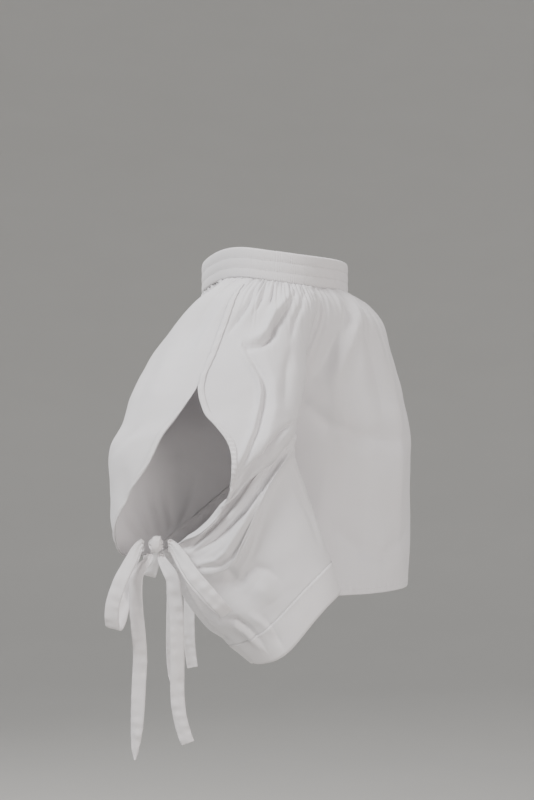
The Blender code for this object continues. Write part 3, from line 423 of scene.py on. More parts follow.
def section_curve(step):
    """A sleeve section as points from its front seam round to its back seam, with their angles."""
    if step == 0:
        turns = np.linspace(FRONT_RAGLAN_TURN, BACK_RAGLAN_TURN, CURVE_SAMPLES)
        return turns, body_points(0, turns) + level_normals(turns) * (CAD_CLOTH + SEAM_LIFT)
    section = SLEEVE[step]
    start = -ring_angle(UNDERARM_SHARE)
    end = 360 + start
    if step < SLIT_TOP_STEP:
        start, end = ARCHES[step].front_turn, ARCHES[step].back_turn
    angles = np.linspace(start, end, CURVE_SAMPLES)
    points = ring_points(section, angles)
    if step <= SLIT_TOP_STEP:
        drop = ARCHES[step].drop
        seams = [np.array([raglan_turn(drop, top)]) for top in (FRONT_RAGLAN_TURN, BACK_RAGLAN_TURN)]
        front_move = body_points(drop, seams[0])[0] - points[0]
        back_move = body_points(drop, seams[1])[0] - points[-1]
        front_share = np.maximum(0, 1 - (angles - start) / SEAM_BLEND) ** 2
        back_share = np.maximum(0, 1 - (end - angles) / SEAM_BLEND) ** 2
        points = points + front_move * front_share[:, None] + back_move * back_share[:, None]
    return angles, points


def resampled(points, shares):
    """Points at shares of a polyline's length."""
    lengths = np.concatenate([[0], np.cumsum(np.linalg.norm(np.diff(points, axis=0), axis=1))])
    wanted = np.asarray(shares) * lengths[-1]
    return np.stack([np.interp(wanted, lengths, points[:, k]) for k in range(3)], axis=-1)


def panel_section(step, front_panel, shares):
    """One sleeve panel at a section, at shares of its width."""
    angles, points = section_curve(step)
    if front_panel:
        edge = SLEEVE_SEAM_TURN if step == 0 else ring_angle(SLEEVE[step].front_end)
        fine = np.linspace(angles[0], edge, CURVE_SAMPLES)
    else:
        edge = SLEEVE_SEAM_TURN if step == 0 else ring_angle(SLEEVE[step].back_end)
        fine = np.linspace(edge, angles[-1], CURVE_SAMPLES)
    stretch = np.stack([np.interp(fine, angles, points[:, k]) for k in range(3)], axis=-1)
    return resampled(stretch, shares)


def rows_between(sections, steps):
    """Rows of points at any steps, on smooth curves through the whole sections."""
    rows = []
    last = len(sections) - 1
    for step in steps:
        low = min(int(step), last - 1)
        start, end = sections[low], sections[low + 1]
        before, after = sections[max(low - 1, 0)], sections[min(low + 2, last)]
        start_slope = (end - before) / (2 if low > 0 else 1)
        end_slope = (after - start) / (2 if low + 2 <= last else 1)
        rows.append(between(start, end, start_slope, end_slope, step - low))
    return np.array(rows)


# Folds and cloth detail

def grid_normals(grid, closed=False):
    """Outward directions at the points of a grid whose rows run down and columns run round."""
    if closed:
        across = np.roll(grid, -1, axis=1) - np.roll(grid, 1, axis=1)
    else:
        across = np.gradient(grid, axis=1)
    return unit(np.cross(across, np.gradient(grid, axis=0)))


def fold_heights(folds, u, v):
    """Sum of folds at places; each is a ridge, trough or lap that dies out at its ends."""
    heights = np.zeros_like(u)
    for fold in folds:
        pieces = len(fold.path) - 1
        gap = np.full_like(u, 1e9)
        along = np.zeros_like(u)
        for index in range(pieces):
            (start_u, start_v), (end_u, end_v) = fold.path[index], fold.path[index + 1]
            run_u, run_v = end_u - start_u, end_v - start_v
            share = ((u - start_u) * run_u + (v - start_v) * run_v) / (run_u**2 + run_v**2)
            share = np.clip(share, 0, 1)
            off_u, off_v = u - start_u - share * run_u, v - start_v - share * run_v
            side = np.where(run_u * off_v - run_v * off_u > 0, 1.0, -1.0)
            reach = np.hypot(off_u, off_v)
            nearer = reach < np.abs(gap)
            gap = np.where(nearer, side * reach, gap)
            along = np.where(nearer, (index + share) / pieces, along)
        taper = 0.15 + 0.85 * np.sin(np.pi * np.clip(along, 0.02, 0.98)) ** 0.7
        ratio = gap / fold.width
        bump = np.exp(-np.abs(ratio) ** FOLD_CRISPNESS)
        if fold.lap:
            bump = LAP_PEAK * fold.lap * ratio * np.exp(-ratio**2)
        heights += fold.depth * taper * bump
    return heights


def soft_noise(grid, scale, seed):
    """Smooth uneven values from -1 to 1 over a grid's points."""
    shift = Vector((seed * 3.1, seed * 1.7, seed * 2.3))
    flat = [noise.noise(Vector(p) * scale + shift) for p in grid.reshape(-1, 3)]
    return np.array(flat).reshape(grid.shape[:2])


def gathers(waves, drops, length, depth, seed):
    """Heights of the uneven gathers below a gathered seam."""
    phase = 2 * np.pi * waves + 0.9 * np.sin(1.3 * waves + seed) + 0.6 * np.sin(0.37 * waves * 7 + seed)
    own_depth = 0.65 + 0.35 * np.sin(1.7 * waves + 0.6 + seed)
    own_length = length * (1.0 + 0.45 * np.sin(2.3 * waves + seed))
    fade = drops / own_length * np.exp(1 - drops / own_length)
    rise = np.cos(phase + 0.35 * np.sin(drops / length + waves))
    sharp = np.sign(rise) * np.abs(rise) ** 0.8
    return depth * own_depth * np.minimum(fade + 0.55 * np.exp(-drops / 0.006), 1.1) * sharp


def notches(across, down, seed):
    """Small deep gaps between the gathers right below the neckband."""
    place = across / NOTCH_PITCH + 0.5 * np.sin(across * 260 + seed) + 0.35 * np.sin(across * 91 + 2 * seed)
    number = np.floor(place)
    notch = np.exp(-(((place - number - 0.5) / 0.19) ** 2))
    own = 0.35 + 0.65 * np.abs(np.sin(2.1 * number + seed))
    length = 0.0055 + 0.0040 * np.sin(1.7 * number + seed)
    return -NOTCH_DEPTH * own * notch * np.exp(-((down / length) ** 2))


def lengths_across(grid):
    """Distance of each point from the grid's first column, along its row."""
    steps = np.linalg.norm(np.diff(grid, axis=1), axis=2)
    return np.concatenate([np.zeros((len(grid), 1)), np.cumsum(steps, axis=1)], axis=1)


def lengths_down(grid):
    """Distance of each point from the grid's first row, along its column."""
    steps = np.linalg.norm(np.diff(grid, axis=0), axis=2)
    return np.concatenate([np.zeros((1, grid.shape[1])), np.cumsum(steps, axis=0)], axis=0)


def seam_heights(distance, along, seed, depth=SEAM_DEPTH, pucker=PUCKER_DEPTH):
    """A seam drawn in at its line, with small puckers along both sides of it."""
    groove = -depth * np.exp(-((distance / SEAM_REACH) ** 2))
    ripple = np.sin(2 * np.pi * along / PUCKER_LENGTH + 1.4 * np.sin(along * 95 + seed))
    return groove + pucker * ripple * np.exp(-((distance - 0.004) / 0.006) ** 2)


# Meshes

def stitch_row(points, normals, lift, spacing=0.0030, length=0.0022, width=0.00034, start=0.0015):
    """Small thread stitches along a line of points, as (vertices, faces)."""
    lengths = np.concatenate([[0], np.cumsum(np.linalg.norm(np.diff(points, axis=0), axis=1))])
    places = np.arange(start, lengths[-1] - length, spacing)
    verts, faces = [], []
    for place in places:
        at = [np.array([np.interp(s, lengths, points[:, k]) for k in range(3)])
              for s in (place, place + length)]
        up = unit(np.array([np.interp(place, lengths, normals[:, k]) for k in range(3)]))
        run = unit(at[1] - at[0])
        side = unit(np.cross(up, run))
        middle = (at[0] + at[1]) / 2 + up * lift
        base = len(verts)
        verts += [at[0] + up * lift * 0.6, at[1] + up * lift * 0.6, middle + side * width,
                  middle - side * width, middle + up * width * 0.9, middle - up * width]
        for a, b in ((2, 4), (4, 3), (3, 5), (5, 2)):
            faces += [(base, base + b, base + a), (base + 1, base + a, base + b)]
    return verts, faces


def build(name, verts, faces, uvs, materials, stitches=()):
    """Mesh object from a shell's points and faces, with its stitches as a second material."""
    faces = list(faces)
    thread_from = len(faces)
    verts = [tuple(v) for v in verts]
    uvs = list(uvs)
    for more_verts, more_faces in stitches:
        base = len(verts)
        verts += [tuple(v) for v in more_verts]
        uvs += [(0.0, 0.0)] * len(more_verts)
        faces += [tuple(base + i for i in face) for face in more_faces]
    mesh = bpy.data.meshes.new(name)
    mesh.from_pydata(verts, [], faces)
    for material in materials:
        mesh.materials.append(material)
    if len(materials) > 1:
        index = np.zeros(len(faces), dtype=np.int32)
        index[thread_from:] = 1
        mesh.polygons.foreach_set("material_index", index)
    layer = mesh.uv_layers.new(name="cloth")
    loops = np.zeros(len(mesh.loops), dtype=np.int32)
    mesh.loops.foreach_get("vertex_index", loops)
    layer.data.foreach_set("uv", np.array(uvs, dtype=np.float32)[loops].ravel())
    bm = bmesh.new()
    bm.from_mesh(mesh)
    bmesh.ops.recalc_face_normals(bm, faces=bm.faces)
    bm.to_mesh(mesh)
    bm.free()
    mesh.shade_smooth()
    item = bpy.data.objects.new(name, mesh)
    bpy.context.scene.collection.objects.link(item)
    return item


def shell(name, grid, normals, thickness, materials, closed=False, stitches=(), inner=None):
    """Thin closed shell with a grid as its middle surface."""
    rows, columns = grid.shape[:2]
    count = rows * columns
    outer = (grid + normals * thickness / 2).reshape(-1, 3)
    inside = (grid - normals * thickness / 2 if inner is None else inner).reshape(-1, 3)
    index = np.arange(count).reshape(rows, columns)
    if closed:
        index = np.concatenate([index, index[:, :1]], axis=1)
    a, b = index[:-1, :-1].ravel(), index[1:, :-1].ravel()
    c, d = index[1:, 1:].ravel(), index[:-1, 1:].ravel()
    faces = [np.stack([a, b, c, d], 1), np.stack([a, d, c, b], 1) + count]
    rims = [(index[0, :-1], index[0, 1:]), (index[-1, 1:], index[-1, :-1])]
    if not closed:
        rims += [(index[1:, 0], index[:-1, 0]), (index[:-1, -1], index[1:, -1])]
    for start, end in rims:
        faces.append(np.stack([start, end, end + count, start + count], 1))
    across = lengths_across(grid)
    down = lengths_down(grid)
    uv = np.stack([across, -down], axis=-1).reshape(-1, 2)
    uvs = np.concatenate([uv, uv + [0.37, 0.21]]).tolist()
    verts = np.concatenate([outer, inside])
    return build(name, verts, np.concatenate(faces).tolist(), uvs, materials, stitches)


def mirror(values):
    """The same points or directions on the wearer's left."""
    return values * np.array([-1, 1, 1])


# Materials

def link_chain(tree, *pairs):
    """Links pairs of sockets."""
    for output, target in pairs:
        tree.links.new(output, target)


def cloth_material(name, colour, weave=0.12, shade=0.03, crease=0.25):
    """White poplin: plain weave, thread slubs, faint creases and a little uneven tone."""
    material = bpy.data.materials.new(name)
    material.use_nodes = True
    tree = material.node_tree
    nodes = tree.nodes
    shader = nodes["Principled BSDF"]
    shader.inputs["Roughness"].default_value = 0.82
    shader.inputs["Sheen Weight"].default_value = 0.25
    shader.inputs["Sheen Roughness"].default_value = 0.45
    shader.inputs["Specular IOR Level"].default_value = 0.28
    shader.inputs["Subsurface Weight"].default_value = 0.0

    uv = nodes.new("ShaderNodeUVMap")
    uv.uv_map = "cloth"
    place = nodes.new("ShaderNodeTexCoord")

    def wave(direction, pitch):
        node = nodes.new("ShaderNodeTexWave")
        node.wave_type = "BANDS"
        node.bands_direction = direction
        node.inputs["Scale"].default_value = 1 / (pitch * 20 / (2 * math.pi))
        node.inputs["Distortion"].default_value = 0.6
        node.inputs["Detail"].default_value = 1.0
        node.inputs["Detail Scale"].default_value = 2.0
        tree.links.new(uv.outputs["UV"], node.inputs["Vector"])
        return node

    def slub(stretch):
        mapping = nodes.new("ShaderNodeMapping")
        mapping.inputs["Scale"].default_value = stretch
        tree.links.new(uv.outputs["UV"], mapping.inputs["Vector"])
        node = nodes.new("ShaderNodeTexNoise")
        node.inputs["Scale"].default_value = 1.0
        node.inputs["Detail"].default_value = 2.0
        tree.links.new(mapping.outputs["Vector"], node.inputs["Vector"])
        return node

    def combine(operation, first, second):
        node = nodes.new("ShaderNodeMath")
        node.operation = operation
        for value, socket in ((first, node.inputs[0]), (second, node.inputs[1])):
            if isinstance(value, float):
                socket.default_value = value
            else:
                tree.links.new(value, socket)
        return node.outputs["Value"]

    warp, weft = wave("X", 0.00042), wave("Y", 0.00046)
    weave_height = combine("MULTIPLY", warp.outputs["Fac"], weft.outputs["Fac"])
    warp_slub, weft_slub = slub((1500, 70, 1)), slub((60, 1300, 1))
    slub_height = combine("ADD", warp_slub.outputs["Fac"], weft_slub.outputs["Fac"])

    tone = nodes.new("ShaderNodeTexNoise")
    tone.inputs["Scale"].default_value = 9.0
    tone.inputs["Detail"].default_value = 3.0
    tree.links.new(place.outputs["Object"], tone.inputs["Vector"])
    creases = nodes.new("ShaderNodeTexNoise")
    creases.inputs["Scale"].default_value = 46.0
    creases.inputs["Detail"].default_value = 4.0
    creases.inputs["Roughness"].default_value = 0.62
    tree.links.new(place.outputs["Object"], creases.inputs["Vector"])

    ramp = nodes.new("ShaderNodeValToRGB")
    ramp.color_ramp.elements[0].position = 0.32
    ramp.color_ramp.elements[1].position = 0.68
    dark = tuple(c * (1 - shade) for c in colour)
    ramp.color_ramp.elements[0].color = (dark[0], dark[1] * 0.995, dark[2] * 0.985, 1)
    ramp.color_ramp.elements[1].color = (*colour, 1)
    mixed = combine("ADD", combine("MULTIPLY", tone.outputs["Fac"], 0.72),
                    combine("MULTIPLY", slub_height, 0.14))
    tree.links.new(mixed, ramp.inputs["Fac"])
    tree.links.new(ramp.outputs["Color"], shader.inputs["Base Color"])

    crease_bump = nodes.new("ShaderNodeBump")
    crease_bump.inputs["Strength"].default_value = crease
    crease_bump.inputs["Distance"].default_value = 0.0012
    tree.links.new(creases.outputs["Fac"], crease_bump.inputs["Height"])
    slub_bump = nodes.new("ShaderNodeBump")
    slub_bump.inputs["Strength"].default_value = 0.22
    slub_bump.inputs["Distance"].default_value = 0.00022
    link_chain(tree, (slub_height, slub_bump.inputs["Height"]),
               (crease_bump.outputs["Normal"], slub_bump.inputs["Normal"]))
    weave_bump = nodes.new("ShaderNodeBump")
    weave_bump.inputs["Strength"].default_value = weave
    weave_bump.inputs["Distance"].default_value = 0.00016
    link_chain(tree, (weave_height, weave_bump.inputs["Height"]),
               (slub_bump.outputs["Normal"], weave_bump.inputs["Normal"]),
               (weave_bump.outputs["Normal"], shader.inputs["Normal"]))
    return material


def plain_material(name, colour, roughness):
    """Matt surface with a faint uneven tone."""
    material = bpy.data.materials.new(name)
    material.use_nodes = True
    nodes, tree = material.node_tree.nodes, material.node_tree
    shader = nodes["Principled BSDF"]
    shader.inputs["Roughness"].default_value = roughness
    tone = nodes.new("ShaderNodeTexNoise")
    tone.inputs["Scale"].default_value = 40.0
    ramp = nodes.new("ShaderNodeValToRGB")
    ramp.color_ramp.elements[0].color = (*[c * 0.96 for c in colour], 1)
    ramp.color_ramp.elements[1].color = (*colour, 1)
    link_chain(tree, (tone.outputs["Fac"], ramp.inputs["Fac"]),
               (ramp.outputs["Color"], shader.inputs["Base Color"]))
    return material


POPLIN = cloth_material("white_poplin", (0.80, 0.785, 0.80))
EDGE_POPLIN = cloth_material("white_poplin_edges", (0.82, 0.80, 0.81), crease=0.35)
BAND_POPLIN = cloth_material("white_poplin_band", (0.80, 0.78, 0.79), crease=0.15)
TIE_POPLIN = cloth_material("white_poplin_ties", (0.79, 0.765, 0.77), shade=0.05, crease=0.6)
THREAD = plain_material("sewing_thread", (0.74, 0.72, 0.73), 0.6)


# Pieces

def neckband():
    """Elastic casing: three puffed channels between stitch lines, shirred into uneven ribs."""
    columns, outer_rows, inner_rows = 1740, 22, 4
    turns = np.linspace(0, 360, columns, endpoint=False)
    line = body_points(0, turns)
    middle = line[:, 2] - PANEL_TOP
    out = level_normals(turns)
    ribs = BAND_RIBS * turns / 360
    shirring = 0.35 + 0.65 * np.clip((np.abs(turns - 180) - 62) / 25, 0, 1)
    waver = sum(np.sin(turns * k * math.pi / 180 + 0.7 * k) / k for k in (3, 7, 11, 17))
    grid, inside = [], []
    for share in np.linspace(0, 1, outer_rows):
        channel = abs(math.sin(3 * math.pi * share)) ** 0.6
        own = 1.3 * np.sin(turns * math.pi / 180 * (5 + int(share * 2.99)) + 2.1 * int(share * 2.99))
        rib = np.cos(2 * np.pi * ribs + waver * 2.0 + own)
        strength = (0.45 + 0.55 * (1 - channel)) * shirring * (0.7 + 0.3 * np.sin(ribs * 0.9))
        edge = 1.0 if 0 < share < 1 else 0.5
        lift = BAND_THICKNESS / 2 + CHANNEL_PUFF * channel + RIB_DEPTH * rib * strength * edge
        row = line + out * lift[:, None]
        wander = 0.0005 * np.sin(2 * np.pi * ribs + 0.5) * shirring
        row[:, 2] = middle + BAND_HEIGHT * (0.5 - share) + wander * (1 if share in (0, 1) else 0.4)
        grid.append(row)
    for share in np.linspace(0, 1, inner_rows):
        row = line - out * (BAND_THICKNESS / 2)
        row[:, 2] = middle + BAND_HEIGHT * (0.5 - share)
        inside.append(row)
    grid, inside = np.array(grid), np.array(inside)[::-1]
    rows = np.concatenate([grid, inside])
    count, index = len(rows), np.arange(len(rows) * columns).reshape(len(rows), columns)
    index = np.concatenate([index, index[:, :1]], axis=1)
    index = np.concatenate([index, index[:1]], axis=0)
    faces = np.stack([index[:-1, :-1].ravel(), index[1:, :-1].ravel(),
                      index[1:, 1:].ravel(), index[:-1, 1:].ravel()], 1)
    across = np.tile(np.linspace(0, 1.0, columns), (count, 1))
    down = np.tile(np.concatenate([np.linspace(0, BAND_HEIGHT, outer_rows),
                                   np.linspace(BAND_HEIGHT, 0, inner_rows)])[:, None], (1, columns))
    uvs = np.stack([across, -down], axis=-1).reshape(-1, 2).tolist()
    stitches = []
    for share in (1 / 3, 2 / 3):
        at = int(round(share * (outer_rows - 1)))
        ring = np.concatenate([grid[at], grid[at][:1]])
        stitches.append(stitch_row(ring, np.concatenate([out, out[:1]]), 0.00035))
    return build("neckband_casing", rows.reshape(-1, 3), faces.tolist(), uvs,
                 [BAND_POPLIN, THREAD], stitches)


def column_shares(even, fine=1.0):
    """Shares across a panel, with closer ones added beside its two edges."""
    close = np.array([0.0025, 0.006, 0.010, 0.0145]) * fine
    return np.unique(np.round(np.concatenate([even, close, 1 - close]), 5))


def sleeve_steps():
    """Fractional steps of the rows of a fine sleeve."""
    parts = [np.linspace(0, 1, 15)[:-1], np.linspace(1, 10, 82)[:-1], np.linspace(10, 22, 97)[:-1],
             np.linspace(22, HEM_STEP, 67)]
    return np.concatenate(parts)


def seat_raglan(grid, steps, column, top_turn):
    """Seats a sleeve panel's upper edge on the body, and eases the cloth beside it."""
    reach = np.abs(lengths_across(grid) - lengths_across(grid)[:, column][:, None])
    for i, step in enumerate(steps):
        if step > SLIT_TOP_STEP:
            break
        drop = row_at(ARCHES, step).drop
        turn = np.array([raglan_turn(drop, top_turn)])
        away = (level_normals(turn) if step == 0 else body_normals(drop, turn))[0]
        wanted = body_points(drop, turn)[0] + away * (CAD_CLOTH + SEAM_LIFT)
        ease = np.exp(-((reach[i] / 0.012) ** 2))
        grid[i] += (wanted - grid[i][column]) * ease[:, None]
    return grid


def sleeve_panel(front_panel):
    """Fine grid of one sleeve panel with its folds, gathers and seams."""
    if front_panel:
        even = np.concatenate([np.linspace(0, OUTER_SHARE, 40)[:-1], np.linspace(OUTER_SHARE, 1, 104)])
    else:
        even = np.linspace(0, 1, 84)
    shares = column_shares(even)
    steps = sleeve_steps()
    sections = [panel_section(step, front_panel, shares) for step in range(HEM_STEP + 1)]
    grid = rows_between(sections, steps)
    seam_column, outer_column = (0, -1) if front_panel else (-1, 0)
    top_turn = FRONT_RAGLAN_TURN if front_panel else BACK_RAGLAN_TURN
    grid = seat_raglan(grid, steps, seam_column, top_turn)

    across, down = lengths_across(grid), lengths_down(grid)
    from_seam = np.abs(across - across[:, seam_column][:, None])
    from_outer = np.abs(across - across[:, outer_column][:, None])
    at = steps[:, None] * np.ones_like(across)
    section_rows = [row_at(SLEEVE, step) for step in steps]
    core = np.array([s.core for s in section_rows])[:, None]
    out = np.array([s.out for s in section_rows])[:, None]
    outwards = np.clip((-grid[..., 0] - core) / (out - core) * 2, 0, 1)

    y, z = grid[..., 1], grid[..., 2]
    folds = FRONT_SLEEVE_FOLDS if front_panel else BACK_SLEEVE_FOLDS
    upper = np.clip(22.5 - at, 0, 1)
    heights = fold_heights(folds, y, z) * outwards * upper
    heights += fold_heights(LOWER_SLEEVE_FOLDS, y, z) * outwards * np.clip(at - 21.5, 0, 1)
    if not front_panel:
        knotwards = np.clip((at - 7.5) / 2, 0, 1) * np.clip(18.5 - at, 0, 1)
        heights += fold_heights(INNER_SLEEVE_FOLDS, y, z) * (1 - outwards) * knotwards

    wave_count = 19 if front_panel else 12
    depth = 0.0018 if front_panel else 0.0013
    waves = wave_count * shares[None, :] * np.ones_like(across)
    heights += gathers(waves, down, 0.014, depth, 1.0 if front_panel else 2.2)
    tie = np.exp(-(((at - 16.2) / 2.4) ** 2))
    inner_side = 1 - outwards if front_panel else np.ones_like(across)
    tie_waves = np.cos(2 * np.pi * (9 if front_panel else 11) * shares + 1.1 * np.sin(9 * shares))
    heights += (0.0022 if front_panel else 0.0015) * tie * tie_waves[None, :] * inner_side
    heights += 0.0011 * soft_noise(grid, 21, 1 if front_panel else 2)
    heights += 0.0005 * soft_noise(grid, 55, 3 if front_panel else 4)

    quiet = np.clip(from_seam / 0.010, 0, 1)
    joined = (at <= SLIT_TOP_STEP) | (at >= KNOT_STEP)
    quiet = quiet * np.where(joined, np.clip(from_outer / 0.008, 0, 1), 1.0)
    heights = heights * quiet
    heights += np.where(joined, seam_heights(from_outer, down, 0.4), 0)
    heights += seam_heights(from_seam, down, 1.9)
    top_seam = seam_heights(down, across, 3.0, depth=0.0, pucker=0.0006)
    heights += (top_seam + notches(across, down, 0.8 if front_panel else 2.9)) * quiet
    hem_seam = np.abs(down - down[np.searchsorted(steps, CUFF_STEP)][None, :])
    heights += 0.0002 * np.exp(-((hem_seam / 0.004) ** 2)) * np.sin(across / 0.0071 * 2 * np.pi) * quiet
    normals = grid_normals(grid)
    return grid + normals * heights[..., None], steps


def joined_edges(front, back, steps):
    """Lets the two sleeve panels meet on shared lines at the underarm and the outer seam."""
    under = steps >= SLIT_TOP_STEP
    shared = (front[:, 0] + back[:, -1]) / 2
    front[under, 0] = shared[under]
    back[under, -1] = shared[under]
    outer = (steps <= SLIT_TOP_STEP) | (steps >= KNOT_STEP)
    shared = (front[:, -1] + back[:, 0]) / 2
    front[outer, -1] = shared[outer]
    back[outer, 0] = shared[outer]


def both_sides(name, grid, normals, thickness, materials, closed=False, rows_of_stitches=()):
    """A right piece and its mirrored left piece, with their stitches."""
    items = []
    for side, flip in (("right", False), ("left", True)):
        points = mirror(grid) if flip else grid
        directions = mirror(normals) if flip else normals
        stitches = []
        for line, up in rows_of_stitches:
            line, up = (mirror(line), mirror(up)) if flip else (line, up)
            stitches.append(stitch_row(line, up, thickness / 2 + 0.0001))
        items.append(shell(name + "_" + side, points, directions, thickness, materials, closed, stitches))
    return items


def cuff_pieces(front, back, steps):
    """The deep folded hem: a closed ring with a soft roll at its lower edge."""
    first = int(np.searchsorted(steps, CUFF_STEP))
    ring = np.concatenate([front[first:], back[first:, 1:-1]], axis=1)
    normals = grid_normals(ring, closed=True)
    depth = lengths_down(ring)
    around = lengths_across(ring)
    lift = 0.0004 * np.exp(-((depth / 0.003) ** 2))
    ripple = 0.0002 * np.exp(-(((depth - 0.004) / 0.006) ** 2)) * np.sin(around / 0.0071 * 2 * np.pi)
    ring = ring + normals * (lift + ripple)[..., None]
    line = np.concatenate([ring[1], ring[1][:1]])
    ups = np.concatenate([normals[1], normals[1][:1]])
    return ring, normals, [(line, ups)]


def sleeves():
    """All cloth of both sleeves."""
    front, steps = sleeve_panel(True)
    back, _ = sleeve_panel(False)
    joined_edges(front, back, steps)
    cuff_row = int(np.searchsorted(steps, CUFF_STEP))
    ring, ring_normals, cuff_stitches = cuff_pieces(front, back, steps)
    pieces = {}
    front, back = front[:cuff_row + 1], back[:cuff_row + 1]
    front_normals, back_normals = grid_normals(front), grid_normals(back)
    pieces["sleeve_front"] = both_sides("sleeve_front_panel", front, front_normals, CLOTH, [POPLIN, THREAD])
    pieces["sleeve_back"] = both_sides("sleeve_back_panel", back, back_normals, CLOTH, [POPLIN, THREAD])
    pieces["cuff"] = both_sides("sleeve_hem", ring, ring_normals, DOUBLE_CLOTH, [EDGE_POPLIN, THREAD],
                                True, cuff_stitches)
    for name, grid, normals, edge, top in (("placket_front", front, front_normals, -1, 0.35),
                                           ("placket_back", back, back_normals, 0, SLIT_TOP_STEP + 0.4)):
        reach = np.abs(lengths_across(grid) - lengths_across(grid)[:, edge][:, None])
        part, directions = [], []
        for i in np.where((steps >= top) & (steps <= KNOT_STEP - 1))[0]:
            order = np.argsort(reach[i])
            wanted = np.linspace(0, STRIP_WIDTH * min(1.0, 0.4 + (steps[i] - top) * 0.6), 9)
            part.append(np.stack([np.interp(wanted, reach[i][order], grid[i][order][:, k])
                                  for k in range(3)], -1))
            directions.append(np.stack([np.interp(wanted, reach[i][order], normals[i][order][:, k])
                                        for k in range(3)], -1))
        part, directions = np.array(part), unit(np.array(directions))
        crown = np.array([0.0, 0.3, 0.1, 0.5, 0.6, 0.5, 0.1, 0.3, 0.0])[None, :] * 0.0007
        length = lengths_down(part)
        pucker = 0.0005 * np.sin(length / 0.0062 * 2 * np.pi + 1.2 * np.sin(length * 70))
        relief = crown * (1 + 0.4 * np.sin(length / 0.009 * 2 * np.pi)) + pucker * (crown > 0)
        part = part + directions * (CLOTH + 0.0007 + relief)[..., None]
        lines = [(part[:, j], directions[:, j]) for j in (2, 6)]
        pieces[name] = both_sides(name + "_strip", part, directions, CLOTH, [EDGE_POPLIN, THREAD],
                                  False, lines)
    rows = np.where((steps >= 13) & (steps <= 18))[0]
    columns = np.arange(int(0.10 * back.shape[1]), int(0.72 * back.shape[1]))
    inside, directions = back[rows][:, columns], back_normals[rows][:, columns]
    inside = inside - directions * (CLOTH + 0.0008)
    pieces["tie_casing"] = both_sides("tie_channel", inside, directions, CLOTH, [EDGE_POPLIN, THREAD])
    return pieces


def body_panel(name, middle_turn, top_turn, wave_count, seed):
    """Front or back panel, from the neckband to its narrow turned-up hem."""
    columns = 250 if middle_turn == 0 else 150
    shares = column_shares(np.linspace(0, 1, columns), 0.8)
    drops = np.concatenate([np.linspace(0, 0.03, 13)[:-1], np.linspace(0.03, 0.385, 84)[:-1],
                            np.linspace(0.385, BODY_LENGTH, 10)])
    grid, turns = [], []
    for drop in drops:
        reach = abs(raglan_turn(drop, top_turn) - middle_turn)
        row_turns = middle_turn - reach + 2 * reach * shares
        grid.append(body_points(drop, row_turns))
        turns.append(row_turns)
    grid, turns = np.array(grid), np.array(turns)
    across, down = lengths_across(grid), drops[:, None] * np.ones((1, len(shares)))
    rim = np.minimum(across, across[:, -1][:, None] - across)
    heights = fold_heights([Fold(f.name, [(t * TURN_LENGTH, d) for t, d in f.path], f.width, f.depth)
                            for f in BODY_FOLDS], turns * TURN_LENGTH, down)
    waves = wave_count * shares[None, :] * np.ones_like(across)
    heights += gathers(waves, down, 0.016, 0.0020, seed)
    heights += gathers(waves / 2.7, down, 0.050, 0.0022, seed + 1)
    heights += notches(across, down, seed + 0.4)
    heights += 0.0013 * soft_noise(grid, 17, seed + 5)
    heights += 0.0005 * soft_noise(grid, 48, seed + 7)
    heights = heights * np.clip(rim / 0.012, 0, 1)
    upper = down < ARCHES[-1].drop
    heights += np.where(upper, 0, seam_heights(rim, down, seed))
    fold_line = BODY_LENGTH - HEM_HEIGHT
    hem = np.clip((down - fold_line) / 0.0012, 0, 1) * 0.0005
    hem_pucker = 0.0005 * np.exp(-(((down - fold_line) / 0.006) ** 2))
    heights += hem + hem_pucker * np.sin(across / 0.010 * 2 * np.pi + np.sin(across * 60))
    normals = grid_normals(grid)
    grid = grid + normals * heights[..., None]
    normals = grid_normals(grid)
    row = int(np.searchsorted(drops, fold_line + 0.0012))
    stitches = [stitch_row(grid[row], normals[row], CLOTH / 2 + 0.0001)]
    return shell(name, grid, normals, CLOTH, [POPLIN, THREAD], False, stitches)


def closer(bends):
    """The same bends spread less from front to back, as the left tails hang."""
    start = bends[0].back
    return [bend._replace(back=start + (bend.back - start) * LEFT_SPREAD) for bend in bends]


